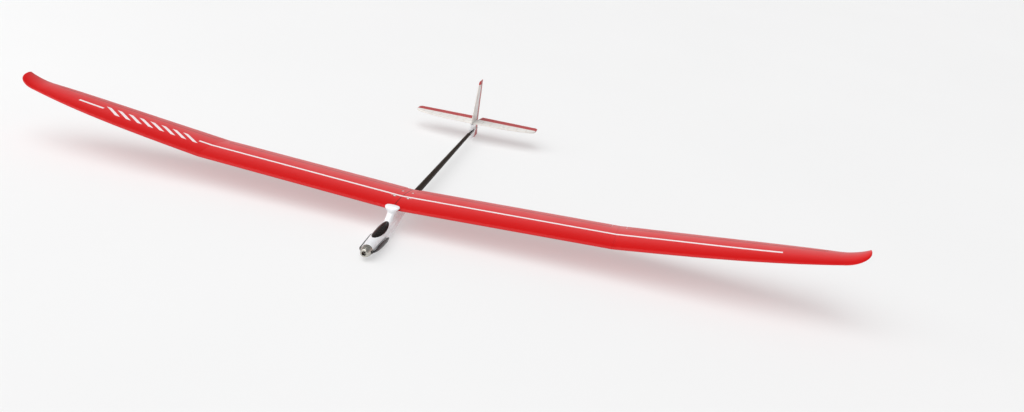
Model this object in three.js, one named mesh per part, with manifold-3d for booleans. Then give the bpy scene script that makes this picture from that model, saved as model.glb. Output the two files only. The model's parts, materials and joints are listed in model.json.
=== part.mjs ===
// An electric radio-controlled thermal sailplane: glass-fibre pod with a wing pylon, carbon tail boom,
// polyhedral wing with flaps and ailerons, and a cross-shaped tail.
// Millimetres. +X is the aircraft's left (port) side, -Y is the nose, +Z is up.
// The origin is the middle of the flat under the belly. Inside the group "aircraft" the local origin is
// the leading edge of the wing root on the centre line, and every size below is given from there.

import * as THREE from "three";
import { mergeVertices } from "three/addons/utils/BufferGeometryUtils.js";
import Module from "manifold-3d";

const wasm = await Module();
wasm.setup();

// ---- driving dimensions -------------------------------------------------------------------------

const GAP = 0.4;                     // clearance between neighbouring pieces
const HALF_SPAN = 1485;
const BREAK_X = 727;                 // where the inner panel meets the outer panel
const TIP_X = 1400;                  // where the tip starts to round off
const ROOT_CHORD = 232;
const BREAK_CHORD = 225;
const BREAK_LE = 20;                 // leading edge position at the break
const INNER_DIHEDRAL = THREE.MathUtils.degToRad(2);
const OUTER_DIHEDRAL = THREE.MathUtils.degToRad(8.3);
const TIP_TE = 149;                  // trailing edge corner of the tip
const TIP_RISE = 19;                 // extra lift of the tip corner
const TE_BOW = 24;                   // how far the trailing edge of the outer panel bows back
const INCIDENCE = THREE.MathUtils.degToRad(2.9);
const THICKNESS = 0.085;             // of the chord
const CAMBER = 0.028;                // of the chord
const HINGE_AT = 0.8;                // flap and aileron hinge line, part of the chord
const FLAP_INNER_X = 24;
const FLAP_OUTER_X = BREAK_X - 24;
const AILERON_INNER_X = BREAK_X + 24;
const AILERON_OUTER_X = 1368;
const HINGE_SLOT = 0.6;              // gap between a wing panel and its flap or aileron
const END_SLOT = 2;                  // gap at the ends of a flap or aileron
const FLAP_BEVEL = THREE.MathUtils.degToRad(48);
const AILERON_BEVEL = THREE.MathUtils.degToRad(24);

const BELLY_Z = -80.7;               // the flat under the pod
const BELLY_Y = -80;                 // middle of that flat
const WALL = 1.5;                    // pod shell
const MOTOR_Z = -56;                 // motor axis
const NOSE_Y = -212;                 // front rim of the pod
const SPINNER_R = 19.2;
const SPINNER_LENGTH = 29;
const BLADE_PIN_X = 17;
const BLADE_LENGTH = 122;
const HATCH = { y: -103, halfLength: 64, halfWidth: 18 };

const BOOM = { y0: 150, y1: 1046, z0: -35, z1: -18, r0: 12, r1: 6.5, wall: 1 };
const BOOM_SLOPE = (BOOM.z1 - BOOM.z0) / (BOOM.y1 - BOOM.y0);

const STAB_Z = 18;                   // middle plane of the stabilizer
const STAB_HALF_SPAN = 266;
const STAB_LE = 992;                 // leading edge on the centre line
const ELEVATOR_HINGE = 1054;
const STAB_TE = 1100;
const STAB_THICK = 8;
const FIN_HINGE = 1052;
const FIN_TOP = 176;
const RUDDER_TOP = 190;
const RUDDER_BOTTOM = -60;
const FIN_THICK = 8;
const RUDDER_SLOT = 1.8;             // from the hinge line to the front face of the rudder
const ELEVATOR_SLOT = 1.2;           // from the hinge line to the front face of the elevator
const TAIL_SLOT_X = 9;               // half the gap between the elevator halves
const RUDDER_HORN = { y: 1058, z: -17, reach: 13 };
const ELEVATOR_HORN = { x: 16, drop: 14 };
const ROD_EXIT_Y = 968;              // where the pushrods leave the boom

// ---- materials ----------------------------------------------------------------------------------

function finish(color, roughness, metalness = 0) {
  return new THREE.MeshStandardMaterial({ color, roughness, metalness });
}
const redFilm = finish(0xd8161c, 0.28);
const whiteFilm = finish(0xf1efec, 0.35);
const whiteGelcoat = finish(0xf4f4f6, 0.18);
const blackGloss = finish(0x141312, 0.15);
const blackPlastic = finish(0x1d1d1e, 0.5);
const carbon = finish(0x2a211c, 0.4);
const champagne = finish(0xb8b2a4, 0.3, 0.9);
const steel = finish(0xb9bcc0, 0.3, 1);
const plywood = finish(0xc9a676, 0.7);
const blueShrink = finish(0x2456a8, 0.4);

// ---- geometry helpers ---------------------------------------------------------------------------

function toSolid(geometry) {
  const bare = geometry.clone();
  for (const name of Object.keys(bare.attributes)) {
    if (name !== "position") bare.deleteAttribute(name);
  }
  const welded = mergeVertices(bare, 1e-4);
  if (signedVolume(welded) < 0) welded.index.array.reverse();
  const vertProperties = new Float32Array(welded.attributes.position.array);
  const triVerts = new Uint32Array(welded.index.array);
  return new wasm.Manifold(new wasm.Mesh({ numProp: 3, vertProperties, triVerts }));
}

function toGeometry(solid) {
  const mesh = solid.getMesh();
  const geometry = new THREE.BufferGeometry();
  geometry.setAttribute("position", new THREE.BufferAttribute(new Float32Array(mesh.vertProperties), 3));
  geometry.setIndex(new THREE.BufferAttribute(new Uint32Array(mesh.triVerts), 1));
  geometry.computeVertexNormals();
  return geometry;
}

// Skins a row of closed rings and closes both ends. Point i of a ring faces point n-i, so the end caps
// are strips between the two halves of the ring.
function loft(rings) {
  const n = rings[0].length;
  const positions = rings.flat().flatMap((point) => [point.x, point.y, point.z]);
  const index = [];
  for (let r = 0; r + 1 < rings.length; r += 1) {
    for (let i = 0; i < n; i += 1) {
      const a = r * n + i;
      const b = r * n + ((i + 1) % n);
      index.push(a, b, b + n, a, b + n, a + n);
    }
  }
  const cap = (base, flip) => {
    for (let i = 0; i < n / 2; i += 1) {
      const quad = [base + i, base + i + 1, base + ((n - i - 1) % n), base + ((n - i) % n)];
      const triangles = [[quad[0], quad[1], quad[2]], [quad[0], quad[2], quad[3]]];
      for (const [p, q, s] of triangles) {
        if (p === q || q === s || s === p) continue;
        index.push(...(flip ? [p, s, q] : [p, q, s]));
      }
    }
  };
  cap(0, true);
  cap((rings.length - 1) * n, false);
  const geometry = new THREE.BufferGeometry();
  geometry.setAttribute("position", new THREE.Float32BufferAttribute(positions, 3));
  geometry.setIndex(index);
  return geometry;
}

function signedVolume(geometry) {
  const corner = (k) => new THREE.Vector3().fromBufferAttribute(geometry.attributes.position, k);
  let volume = 0;
  for (let i = 0; i < geometry.index.count; i += 3) {
    const [a, b, c] = [0, 1, 2].map((k) => corner(geometry.index.getX(i + k)));
    volume += a.dot(b.cross(c)) / 6;
  }
  return volume;
}

function boxAt(x0, x1, y0, y1, z0, z1) {
  const geometry = new THREE.BoxGeometry(x1 - x0, y1 - y0, z1 - z0);
  return geometry.translate((x0 + x1) / 2, (y0 + y1) / 2, (z0 + z1) / 2);
}

// A cylinder of radius r from y0 to y1, parallel to the fuselage.
function rodAlongY(r, y0, y1, x, z, sides = 20) {
  return new THREE.CylinderGeometry(r, r, y1 - y0, sides).translate(x, (y0 + y1) / 2, z);
}

function rodAlongZ(r, z0, z1, x, y, sides = 16) {
  const geometry = new THREE.CylinderGeometry(r, r, z1 - z0, sides).rotateX(Math.PI / 2);
  return geometry.translate(x, y, (z0 + z1) / 2);
}

function rodAlongX(r, x0, x1, y, z, sides = 16) {
  const geometry = new THREE.CylinderGeometry(r, r, x1 - x0, sides).rotateZ(Math.PI / 2);
  return geometry.translate((x0 + x1) / 2, y, z);
}

// A straight round bar between two points.
function barBetween(start, end, r, sides = 10) {
  const along = new THREE.Vector3().subVectors(end, start);
  const geometry = new THREE.CylinderGeometry(r, r, along.length(), sides);
  const direction = along.clone().normalize();
  const turn = new THREE.Quaternion().setFromUnitVectors(new THREE.Vector3(0, 1, 0), direction);
  const middle = new THREE.Vector3().addVectors(start, end).multiplyScalar(0.5);
  return geometry.applyQuaternion(turn).translate(middle.x, middle.y, middle.z);
}

// A turned shape around the motor axis; the profile is a list of [radius, y].
function turned(profile, z = MOTOR_Z, sides = 32) {
  const points = profile.map(([r, y]) => new THREE.Vector2(r, y));
  return new THREE.LatheGeometry(points, sides).translate(0, 0, z);
}

// A flat outline in the Y-Z plane, thickened evenly about x = 0.
function plateYZ(outline, thickness) {
  const shape = new THREE.Shape(outline.map(([y, z]) => new THREE.Vector2(y, z)));
  const geometry = new THREE.ExtrudeGeometry(shape, { depth: thickness, bevelEnabled: false });
  return geometry.translate(0, 0, -thickness / 2).applyMatrix4(
    new THREE.Matrix4().set(0, 0, 1, 0, 1, 0, 0, 0, 0, 1, 0, 0, 0, 0, 0, 1));
}

// A flat outline in the X-Y plane, thickened evenly about z = middle.
function plateXY(outline, middle, thickness) {
  const shape = new THREE.Shape(outline.map(([x, y]) => new THREE.Vector2(x, y)));
  const geometry = new THREE.ExtrudeGeometry(shape, { depth: thickness, bevelEnabled: false });
  return geometry.translate(0, 0, middle - thickness / 2);
}

// The aircraft stands on the flat and on the foot of the rudder, so its tail is a degree down.
const RUDDER_FOOT_Y = 1108;
const REST_PITCH = Math.atan2(RUDDER_BOTTOM - BELLY_Z, RUDDER_FOOT_Y - BELLY_Y);
const aircraft = new THREE.Group();
aircraft.rotation.x = -REST_PITCH;
aircraft.position.set(0, -BELLY_Y, -BELLY_Z).applyEuler(aircraft.rotation);

function add(name, shape, material) {
  const geometry = toGeometry(shape instanceof THREE.BufferGeometry ? toSolid(shape) : shape);
  const mesh = new THREE.Mesh(geometry, material);
  mesh.name = name;
  aircraft.add(mesh);
  return mesh;
}

function mirrored(solid) {
  return solid.mirror([1, 0, 0]);
}

function addPair(name, solid, material) {
  add(`${name}_left`, solid, material);
  add(`${name}_right`, mirrored(solid), material);
}

// ---- wing ---------------------------------------------------------------------------------------

// Leading edge, chord and height of the wing at a distance x from the centre line.
function wingStation(x) {
  const outer = Math.max(0, x - BREAK_X);
  const tip = THREE.MathUtils.clamp((x - TIP_X) / (HALF_SPAN - TIP_X), 0, 1);
  const u = outer / (TIP_X - BREAK_X);
  let leading = x <= BREAK_X ? (BREAK_LE * x) / BREAK_X : BREAK_LE - 16 * u + 50 * Math.min(u, 1) ** 3;
  leading += 8 * tip + 80 * (1 - (1 - tip ** 2.6) ** (1 / 2.6));
  const innerTE = ROOT_CHORD + ((BREAK_LE + BREAK_CHORD - ROOT_CHORD) * Math.min(x, BREAK_X)) / BREAK_X;
  const share = outer / (HALF_SPAN - BREAK_X);
  const trailing = innerTE + (TIP_TE - BREAK_LE - BREAK_CHORD) * share + TE_BOW * share * (1 - share ** 6);
  const height = Math.min(x, BREAK_X) * Math.tan(INNER_DIHEDRAL) + outer * Math.tan(OUTER_DIHEDRAL);
  return { leading, chord: trailing - leading, height: height + TIP_RISE * tip ** 2 };
}

// Height of the upper (+1) or lower (-1) surface above the chord line, as a part of the chord.
function surfaceHeight(u, side) {
  const bow = 5 * THICKNESS * (0.2969 * Math.sqrt(u) - 0.126 * u - 0.3516 * u ** 2
    + 0.2843 * u ** 3 - 0.1036 * u ** 4);
  return 4 * CAMBER * u * (1 - u) + side * bow;
}

// The closed outline of the wing at x: trailing edge, over the top to the nose, and back underneath.
function airfoilRing(x, grow = 0) {
  const { leading, chord, height } = wingStation(Math.abs(x));
  const half = 9;
  const edge = 0.5 + grow;
  const point = (u, side) => {
    const y = u * chord + grow * (2 * u - 1);
    const z = surfaceHeight(u, side) * chord + side * (edge * u + grow * Math.sin(Math.PI * u));
    return new THREE.Vector3(x, leading + y * Math.cos(INCIDENCE) + z * Math.sin(INCIDENCE),
      height - y * Math.sin(INCIDENCE) + z * Math.cos(INCIDENCE));
  };
  const ring = [];
  for (let i = 0; i <= half; i += 1) {
    ring.push(point(0.5 + 0.5 * Math.cos((Math.PI * i) / half), 1));
  }
  for (let i = half - 1; i >= 0; i -= 1) {
    ring.push(point(0.5 + 0.5 * Math.cos((Math.PI * i) / half), -1));
  }
  return ring;
}

// A point of the wing at x, on the chord line or on the upper surface.
function chordPoint(x, u) {
  const { leading, chord, height } = wingStation(x);
  const y = leading + u * chord * Math.cos(INCIDENCE);
  return new THREE.Vector3(x, y, height - u * chord * Math.sin(INCIDENCE));
}

function skinPoint(x, u, side) {
  const point = chordPoint(x, u);
  point.z += surfaceHeight(u, side) * wingStation(x).chord;
  return point;
}

// The space behind the hinge line between x0 and x1, used to cut a flap out of a panel. The hinge is in
// the upper skin, and the front of the flap is bevelled so that it can turn down.
function behindHinge(x0, x1, setBack, bevel) {
  const [above, below, reach] = [40, 40, 200];
  const ring = (x) => {
    const { y, z } = skinPoint(x, HINGE_AT, 1);
    const front = y + setBack;
    const corners = [[front + reach, z + above], [front, z + above], [front, z],
      [front + below * Math.tan(bevel), z - below], [front + reach, z - below], [front + reach, z]];
    return corners.map(([a, b]) => new THREE.Vector3(x, a, b));
  };
  return toSolid(loft([ring(x0), ring(x1)]));
}

const innerSolid = toSolid(loft([GAP / 2, BREAK_X - GAP / 2].map((x) => airfoilRing(x))));
const outerStations = [
  BREAK_X + GAP / 2, 950, 1120, 1250, 1330, 1385, 1425, 1452, 1470, 1480, HALF_SPAN - 0.5,
];
const outerSolid = toSolid(loft(outerStations.map((x) => airfoilRing(x))));

function surfaceAndPanel(panel, x0, x1, bevel) {
  const flap = panel.intersect(behindHinge(x0 + END_SLOT, x1 - END_SLOT, HINGE_SLOT, bevel));
  return { flap, rest: panel.subtract(behindHinge(x0, x1, 0, 0)) };
}
const innerParts = surfaceAndPanel(innerSolid, FLAP_INNER_X, FLAP_OUTER_X, FLAP_BEVEL);
const outerParts = surfaceAndPanel(outerSolid, AILERON_INNER_X, AILERON_OUTER_X, AILERON_BEVEL);

// Between the flaps the trailing edge is set forward.
const ROOT_NOTCH = 8;

function rootNotch() {
  const back = ROOT_CHORD * Math.cos(INCIDENCE);
  return toSolid(boxAt(-1, FLAP_INNER_X + GAP, back - ROOT_NOTCH, back + 20, -60, 40));
}

// Carbon joiners: a round rod at the centre and a flat blade in each polyhedral break.
const JOINER_U = 0.3;
const CENTRE_JOINER = { halfLength: 130, r: 5 };
const BREAK_JOINER = { halfLength: 60, width: 12, thickness: 3 };

function sparPoint(x) {
  const point = chordPoint(x, JOINER_U);
  point.z += 4 * CAMBER * JOINER_U * (1 - JOINER_U) * wingStation(x).chord;
  return point;
}

function centreJoiner(grow) {
  const halfRod = (side) => {
    const end = sparPoint(CENTRE_JOINER.halfLength + grow);
    const start = sparPoint(0);
    end.x *= side;
    const inward = new THREE.Vector3(-side * 3, 0, 0);
    return toSolid(barBetween(start.add(inward), end, CENTRE_JOINER.r + grow, 12));
  };
  return halfRod(1).add(halfRod(-1));
}

function breakJoiner(grow) {
  const middle = sparPoint(BREAK_X);
  const ring = (x) => {
    const slope = x < BREAK_X ? INNER_DIHEDRAL : OUTER_DIHEDRAL;
    const z = middle.z + (x - BREAK_X) * Math.tan(slope);
    const [w, t] = [BREAK_JOINER.width / 2 + grow, BREAK_JOINER.thickness / 2 + grow];
    return [[w, t], [-w, t], [-w, -t], [w, -t]].map(([a, b]) => new THREE.Vector3(x, middle.y + a, z + b));
  };
  const reach = BREAK_JOINER.halfLength + grow;
  return toSolid(loft([ring(BREAK_X - reach), ring(BREAK_X), ring(BREAK_X + reach)]));
}

// Four nylon bolts clamp the wing to the plywood plate in the pylon.
const WING_BOLTS = [
  { name: "wing_bolt_front_left", x: 24, y: 88 },
  { name: "wing_bolt_front_right", x: -24, y: 88 },
  { name: "wing_bolt_rear_left", x: 18, y: 158 },
  { name: "wing_bolt_rear_right", x: -18, y: 158 },
];
const BOLT = { shankR: 2.4, headR: 5, headHeight: 2.2, bottom: -22, recess: 0.5 };

// The heads lie just below the upper skin.
function boltHeadBase({ x, y }) {
  const { leading, chord } = wingStation(Math.abs(x));
  return skinPoint(Math.abs(x), (y - leading) / chord, 1).z - BOLT.headHeight - BOLT.recess;
}

function wingBolt({ x, y }) {
  const base = boltHeadBase({ x, y });
  const shank = toSolid(rodAlongZ(BOLT.shankR, BOLT.bottom, base + 0.5, x, y, 12));
  return shank.add(toSolid(rodAlongZ(BOLT.headR, base, base + BOLT.headHeight, x, y, 16)));
}

function boltHoles() {
  const holes = WING_BOLTS.map(({ x, y }) => {
    const bore = toSolid(rodAlongZ(BOLT.shankR + GAP, -60, 40, x, y, 12));
    return bore.add(toSolid(rodAlongZ(BOLT.headR + GAP, boltHeadBase({ x, y }) - GAP, 40, x, y, 16)));
  });
  return holes.reduce((all, hole) => all.add(hole));
}

// A servo lies on its side in a pocket under each panel, its arm reaching out below the skin.
const WING_SERVO = { length: 28, width: 12, height: 9, chordAt: 0.5 };
const SERVO_ARM = { length: 17, end: 2, width: 4, thickness: 2 };
const LINK_R = 1;
const FLAP_SERVO_X = 330;
const AILERON_SERVO_X = 960;

function wingServoBody(x, grow) {
  const { y, z } = skinPoint(x, WING_SERVO.chordAt, -1);
  const [a, b] = [WING_SERVO.length / 2 + grow, WING_SERVO.width / 2 + grow];
  const bottom = grow > 0 ? z - 20 : z + 0.5;
  return toSolid(boxAt(x - b, x + b, y - a, y + a, bottom, z + 0.5 + WING_SERVO.height + grow));
}

// The servo arm hangs below the wing beside the servo and turns about a line along the wing.
function wingServoArm(x) {
  const { y, z } = skinPoint(x, WING_SERVO.chordAt, -1);
  const pivot = new THREE.Vector3(x, y + 6, z + 4);
  const side = WING_SERVO.width / 2 + GAP;
  const half = SERVO_ARM.width / 2;
  const bottom = pivot.z - SERVO_ARM.length - SERVO_ARM.end;
  const geometry = boxAt(x + side, x + side + SERVO_ARM.thickness, pivot.y - half, pivot.y + half,
    bottom, pivot.z + half);
  return { pivot, side, geometry };
}

// A control horn under a flap or aileron. Its hole is straight below the hinge and as far from the hinge
// as the servo arm is long, so arm, link and horn make a parallelogram.
const HORN_OUTLINE = [[9, -7.6], [20, -5.5], [3, -SERVO_ARM.length - 2.5], [-2, -SERVO_ARM.length - 2.5],
  [-2, -SERVO_ARM.length + 2]];
const HORN_THICK = 2;

function wingHorn(x) {
  const hinge = skinPoint(x, HINGE_AT, 1);
  const outline = HORN_OUTLINE.map(([y, z]) => [hinge.y + y, hinge.z + z]);
  const middle = x + WING_SERVO.width / 2 + GAP + SERVO_ARM.thickness / 2;
  return toSolid(plateYZ(outline, HORN_THICK).translate(middle, 0, 0));
}

function wingLink(x) {
  const { pivot, side } = wingServoArm(x);
  const beside = x + side + SERVO_ARM.thickness + GAP + LINK_R;
  const hinge = skinPoint(x, HINGE_AT, 1);
  const start = new THREE.Vector3(beside, pivot.y, pivot.z - SERVO_ARM.length);
  const end = new THREE.Vector3(beside, hinge.y + 0.3, hinge.z - SERVO_ARM.length);
  return toSolid(barBetween(start, end, LINK_R, 8));
}

function buildWing() {
  const socket = (panel) => panel.subtract(centreJoiner(GAP)).subtract(breakJoiner(GAP));
  const armClearance = (x) => {
    const { pivot, side } = wingServoArm(x);
    return toSolid(boxAt(x, x + side + SERVO_ARM.thickness + 2, pivot.y - 15, pivot.y + 15,
      pivot.z - 30, pivot.z + 5));
  };
  const inner = socket(innerParts.rest).subtract(rootNotch()).subtract(boltHoles())
    .subtract(wingServoBody(FLAP_SERVO_X, GAP)).subtract(armClearance(FLAP_SERVO_X));
  const outer = socket(outerParts.rest)
    .subtract(wingServoBody(AILERON_SERVO_X, GAP)).subtract(armClearance(AILERON_SERVO_X));
  addPair("inner_wing", inner, redFilm);
  addPair("outer_wing", outer, redFilm);
  addPair("flap", innerParts.flap.add(wingHorn(FLAP_SERVO_X)), redFilm);
  addPair("aileron", outerParts.flap.add(wingHorn(AILERON_SERVO_X)), redFilm);
  add("wing_joiner_centre", centreJoiner(0), carbon);
  addPair("wing_joiner_break", breakJoiner(0), carbon);
  for (const [kind, x] of [["flap", FLAP_SERVO_X], ["aileron", AILERON_SERVO_X]]) {
    addPair(`${kind}_servo`, wingServoBody(x, 0), blackPlastic);
    addPair(`${kind}_servo_arm`, toSolid(wingServoArm(x).geometry), whiteFilm);
    addPair(`${kind}_link`, wingLink(x), steel);
  }
  for (const bolt of WING_BOLTS) add(bolt.name, wingBolt(bolt), whiteFilm);
}

// ---- fuselage -----------------------------------------------------------------------------------

// Stations of the pod: distance aft, top, bottom and half width.
const POD_STATIONS = [
  [NOSE_Y, -37, -75, 19],
  [-185, -34.2, -78.4, 21],
  [-145, -30.8, -81.6, 23],
  [-100, -28.5, -82.2, 24],
  [-50, -27, -81, 23.5],
  [0, -26.5, -76, 21.5],
  [50, -25.5, -68, 18.5],
  [105, -24, -60, 15.8],
  [165, -21.5, -51.5, 14],
  [235, -20.8, -46.2, 12.8],
];
const POD_RINGS = 18;

function podSection(t) {
  const curve = (column) => new THREE.CatmullRomCurve3(
    POD_STATIONS.map((station) => new THREE.Vector3(station[0], station[column], 0)));
  const at = (column) => curve(column).getPoint(t);
  return { y: at(1).x, top: at(1).y, bottom: at(2).y, half: at(3).y };
}

function podRing({ y, top, bottom, half }, inset, n = 24) {
  const centre = (top + bottom) / 2;
  const ring = [];
  for (let i = 0; i < n; i += 1) {
    const angle = (2 * Math.PI * i) / n;
    const round = (value) => Math.sign(value) * Math.abs(value) ** 0.92;
    ring.push(new THREE.Vector3((half - inset) * round(Math.sin(angle)), y,
      centre + ((top - bottom) / 2 - inset) * round(Math.cos(angle))));
  }
  return ring;
}

function podLoft(inset, overrun) {
  const rings = [];
  for (let i = 0; i <= POD_RINGS; i += 1) {
    const section = podSection(i / POD_RINGS);
    if (i === 0) section.y -= overrun;
    if (i === POD_RINGS) section.y += overrun;
    rings.push(podRing(section, inset));
  }
  return toSolid(loft(rings));
}

// Levels of the pylon: height, front, back and half width.
const PYLON_LEVELS = [
  [-56, -18, 120, 10],
  [-40, -34, 150, 12.5],
  [-30, -40, 166, 14.5],
  [-22, -34, 172, 13],
  [-15, -27, 178, 12.8],
  [-9, -20, 184, 13.5],
  [-5, -15, 190, 15],
];
// Levels of the lip that wraps over the leading edge of the wing.
const LIP_LEVELS = [
  [-7, -17, 14, 13],
  [-2, -17, 15, 16],
  [3, -16, 15, 21],
  [7, -13.5, 15, 25],
  [10, -9.5, 14, 25],
  [13, -2, 12, 21],
  [14, 4, 10, 15],
];

// Levels of the saddle under the wing, wide enough for the plate that takes the bolts.
const SADDLE_LEVELS = [
  [-27, 52, 172, 13],
  [-21.5, 42, 182, 28.5],
  [-12, 40, 184, 30],
  [-5, 40, 184, 30],
];

function levelRing([z, front, back, half], inset, n = 24) {
  const ring = [];
  const middle = front + half;
  for (let i = 0; i < n; i += 1) {
    const angle = (2 * Math.PI * i) / n;
    const forward = Math.cos(angle);
    const taper = forward > 0 ? Math.sin(angle) : Math.sin(angle) * (1 - 0.45 * forward ** 2);
    const reach = forward > 0 ? middle - front - inset : back - middle - inset;
    ring.push(new THREE.Vector3((half - inset) * taper, middle - reach * forward, z));
  }
  return ring;
}

function lipRing([z, front, back, half]) {
  const n = 20;
  const ring = [];
  for (let i = 0; i < n; i += 1) {
    const angle = (2 * Math.PI * i) / n;
    const square = (value) => Math.sign(value) * Math.abs(value) ** 0.7;
    ring.push(new THREE.Vector3(half * square(Math.sin(angle)),
      (front + back) / 2 - ((back - front) / 2) * square(Math.cos(angle)), z));
  }
  return ring;
}

function hatchColumn(inset) {
  const geometry = new THREE.CylinderGeometry(1, 1, 60, 28).rotateX(Math.PI / 2);
  geometry.scale(HATCH.halfWidth - inset, HATCH.halfLength - inset, 1);
  return toSolid(geometry.translate(0, HATCH.y, -15));
}

function wingSlab(grow) {
  const side = (sign) => toSolid(loft([-sign * 0.01, sign * 60].map((x) => {
    const ring = airfoilRing(Math.abs(x), grow);
    return ring.map((point) => new THREE.Vector3(x, point.y, point.z));
  })));
  return side(1).add(side(-1));
}

const WING_PLATE = { halfFront: 26, halfBack: 21.5, y0: 74, y1: 168, z: -18, thickness: 4 };

function wingPlate(grow) {
  const [a, b] = [WING_PLATE.halfFront + grow, WING_PLATE.halfBack + grow];
  const [front, back] = [WING_PLATE.y0 - grow, WING_PLATE.y1 + grow];
  return toSolid(plateXY([[a, front], [b, back], [-b, back], [-a, front]],
    WING_PLATE.z, WING_PLATE.thickness + 2 * grow));
}

function buildFuselage() {
  const outer = podLoft(0, 0);
  const cavity = podLoft(WALL, 1);
  const pylon = toSolid(loft(PYLON_LEVELS.map((level) => levelRing(level, 0))));
  const lip = toSolid(loft(LIP_LEVELS.map(lipRing)));
  const pylonCavity = toSolid(loft(PYLON_LEVELS.slice(0, 5).map((level) => levelRing(level, 2.5))));
  const underBelly = toSolid(boxAt(-40, 40, -210, 380, -30, 0).rotateX(REST_PITCH)
    .translate(0, BELLY_Y, BELLY_Z));
  const saddle = toSolid(loft(SADDLE_LEVELS.map(lipRing)));
  const shell = outer.add(pylon).add(saddle).add(lip).subtract(cavity).subtract(pylonCavity)
    .subtract(hatchColumn(0)).subtract(wingSlab(GAP)).subtract(underBelly)
    .subtract(boomSolid(GAP, true)).subtract(boltHoles()).subtract(wingPlate(GAP));
  add("fuselage_pod", shell, whiteGelcoat);
  const hatch = outer.subtract(cavity).intersect(hatchColumn(GAP));
  add("canopy_hatch", hatch, blackGloss);
}

function boomSolid(grow, filled = false) {
  const steps = 4;
  const profile = [];
  for (let i = 0; i <= steps; i += 1) {
    const t = i / steps;
    profile.push([THREE.MathUtils.lerp(BOOM.r0, BOOM.r1, t) + grow, (BOOM.y1 - BOOM.y0) * t]);
  }
  if (filled) {
    profile.unshift([0, 0]);
    profile.push([0, BOOM.y1 - BOOM.y0]);
  } else {
    profile.push([BOOM.r1 - BOOM.wall, BOOM.y1 - BOOM.y0], [BOOM.r0 - BOOM.wall, 0]);
    profile.push(profile[0].slice());
  }
  const geometry = new THREE.LatheGeometry(profile.map(([r, y]) => new THREE.Vector2(r, y)), 20);
  geometry.rotateX(Math.atan(BOOM_SLOPE)).translate(0, BOOM.y0, BOOM.z0);
  return toSolid(geometry);
}

function boomZ(y) {
  return BOOM.z0 + (y - BOOM.y0) * BOOM_SLOPE;
}

// ---- motor and propeller ------------------------------------------------------------------------

function buildMotor() {
  const front = NOSE_Y + 4;
  add("firewall", turned([[4, front], [17, front], [17, front + 3], [4, front + 3], [4, front]]), plywood);
  const base = front + 3 + GAP;
  add("motor_stator", turned([
    [3.2, base], [12, base], [12, base + 3], [9.5, base + 5], [9.5, base + 24], [3.2, base + 24], [3.2, base],
  ]), steel);
  const bellFront = base + 7;
  const bellBack = base + 30;
  add("motor_bell", turned([
    [3, bellBack - 2], [11, bellBack - 2], [11, bellFront], [13.5, bellFront], [13.5, bellBack],
    [3, bellBack], [3, bellBack - 2],
  ]), blackPlastic);
  const shaftFront = NOSE_Y - 12;
  const shaft = [[0, shaftFront], [2.5, shaftFront], [2.5, bellBack + 2], [0, bellBack + 2]];
  add("motor_shaft", turned(shaft, MOTOR_Z, 16), steel);
}

const SPINNER_BACK = NOSE_Y - 1;
const PIN_Y = SPINNER_BACK - 5;
const LUG = { halfThick: 4, radius: 5 };

function buildPropeller() {
  const back = SPINNER_BACK;
  const front = back - SPINNER_LENGTH;
  const shell = toSolid(turned([
    [SPINNER_R - 1.6, back], [SPINNER_R, back], [SPINNER_R - 0.6, back - 8], [SPINNER_R - 2.6, back - 17],
    [SPINNER_R - 5.4, back - 25], [SPINNER_R - 7.4, front], [7.5, front], [7, front + 1.6],
    [SPINNER_R - 8.4, front + 2], [SPINNER_R - 5, back - 17], [SPINNER_R - 2.4, back - 8],
    [SPINNER_R - 1.6, back],
  ], MOTOR_Z, 36));
  const mouths = toSolid(boxAt(-30, 30, back - 14, back + 1, MOTOR_Z - 6.5, MOTOR_Z + 6.5));
  add("spinner", shell.subtract(mouths), champagne);
  const hub = toSolid(turned([
    [2.9, back - 11], [8, back - 11], [8, back - 9], [15, back - 0.5], [15, back], [2.9, back],
    [2.9, back - 11],
  ], MOTOR_Z, 24));
  const yokeX = BLADE_PIN_X + 3.6;
  const yoke = toSolid(boxAt(-yokeX, yokeX, PIN_Y - 3.4, back - 0.8, MOTOR_Z - 6, MOTOR_Z + 6));
  const blades = toSolid(boxAt(BLADE_PIN_X - LUG.radius - GAP, 40, PIN_Y - 20, back + 5,
    MOTOR_Z - LUG.halfThick - GAP, MOTOR_Z + LUG.halfThick + GAP));
  const pinHole = toSolid(rodAlongZ(1.5 + GAP, MOTOR_Z - 9, MOTOR_Z + 9, BLADE_PIN_X, PIN_Y, 12));
  const shaftHole = toSolid(rodAlongY(2.9, back - 30, back + 10, 0, MOTOR_Z, 16));
  const carrier = hub.add(yoke).subtract(blades).subtract(mirrored(blades))
    .subtract(pinHole).subtract(mirrored(pinHole)).subtract(shaftHole);
  add("propeller_hub", carrier, champagne);
  addPair("blade_pin", toSolid(rodAlongZ(1.5, MOTOR_Z - 6, MOTOR_Z + 6, BLADE_PIN_X, PIN_Y, 12)), steel);
  addPair("propeller_blade", bladeSolid(pinHole), blackPlastic);
}

// A blade folded back along the pod: distance from the pin, chord, thickness and outward offset.
const BLADE_STATIONS = [
  [0, 8, 7.2, 3.4],
  [6, 8, 6.4, 6.8],
  [18, 10, 4.6, 9.2],
  [36, 14, 3.2, 10.2],
  [62, 16, 2.6, 11.6],
  [88, 14.5, 2.2, 12.6],
  [108, 11, 1.8, 12.8],
  [BLADE_LENGTH, 5, 1.2, 12.8],
];

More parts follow.
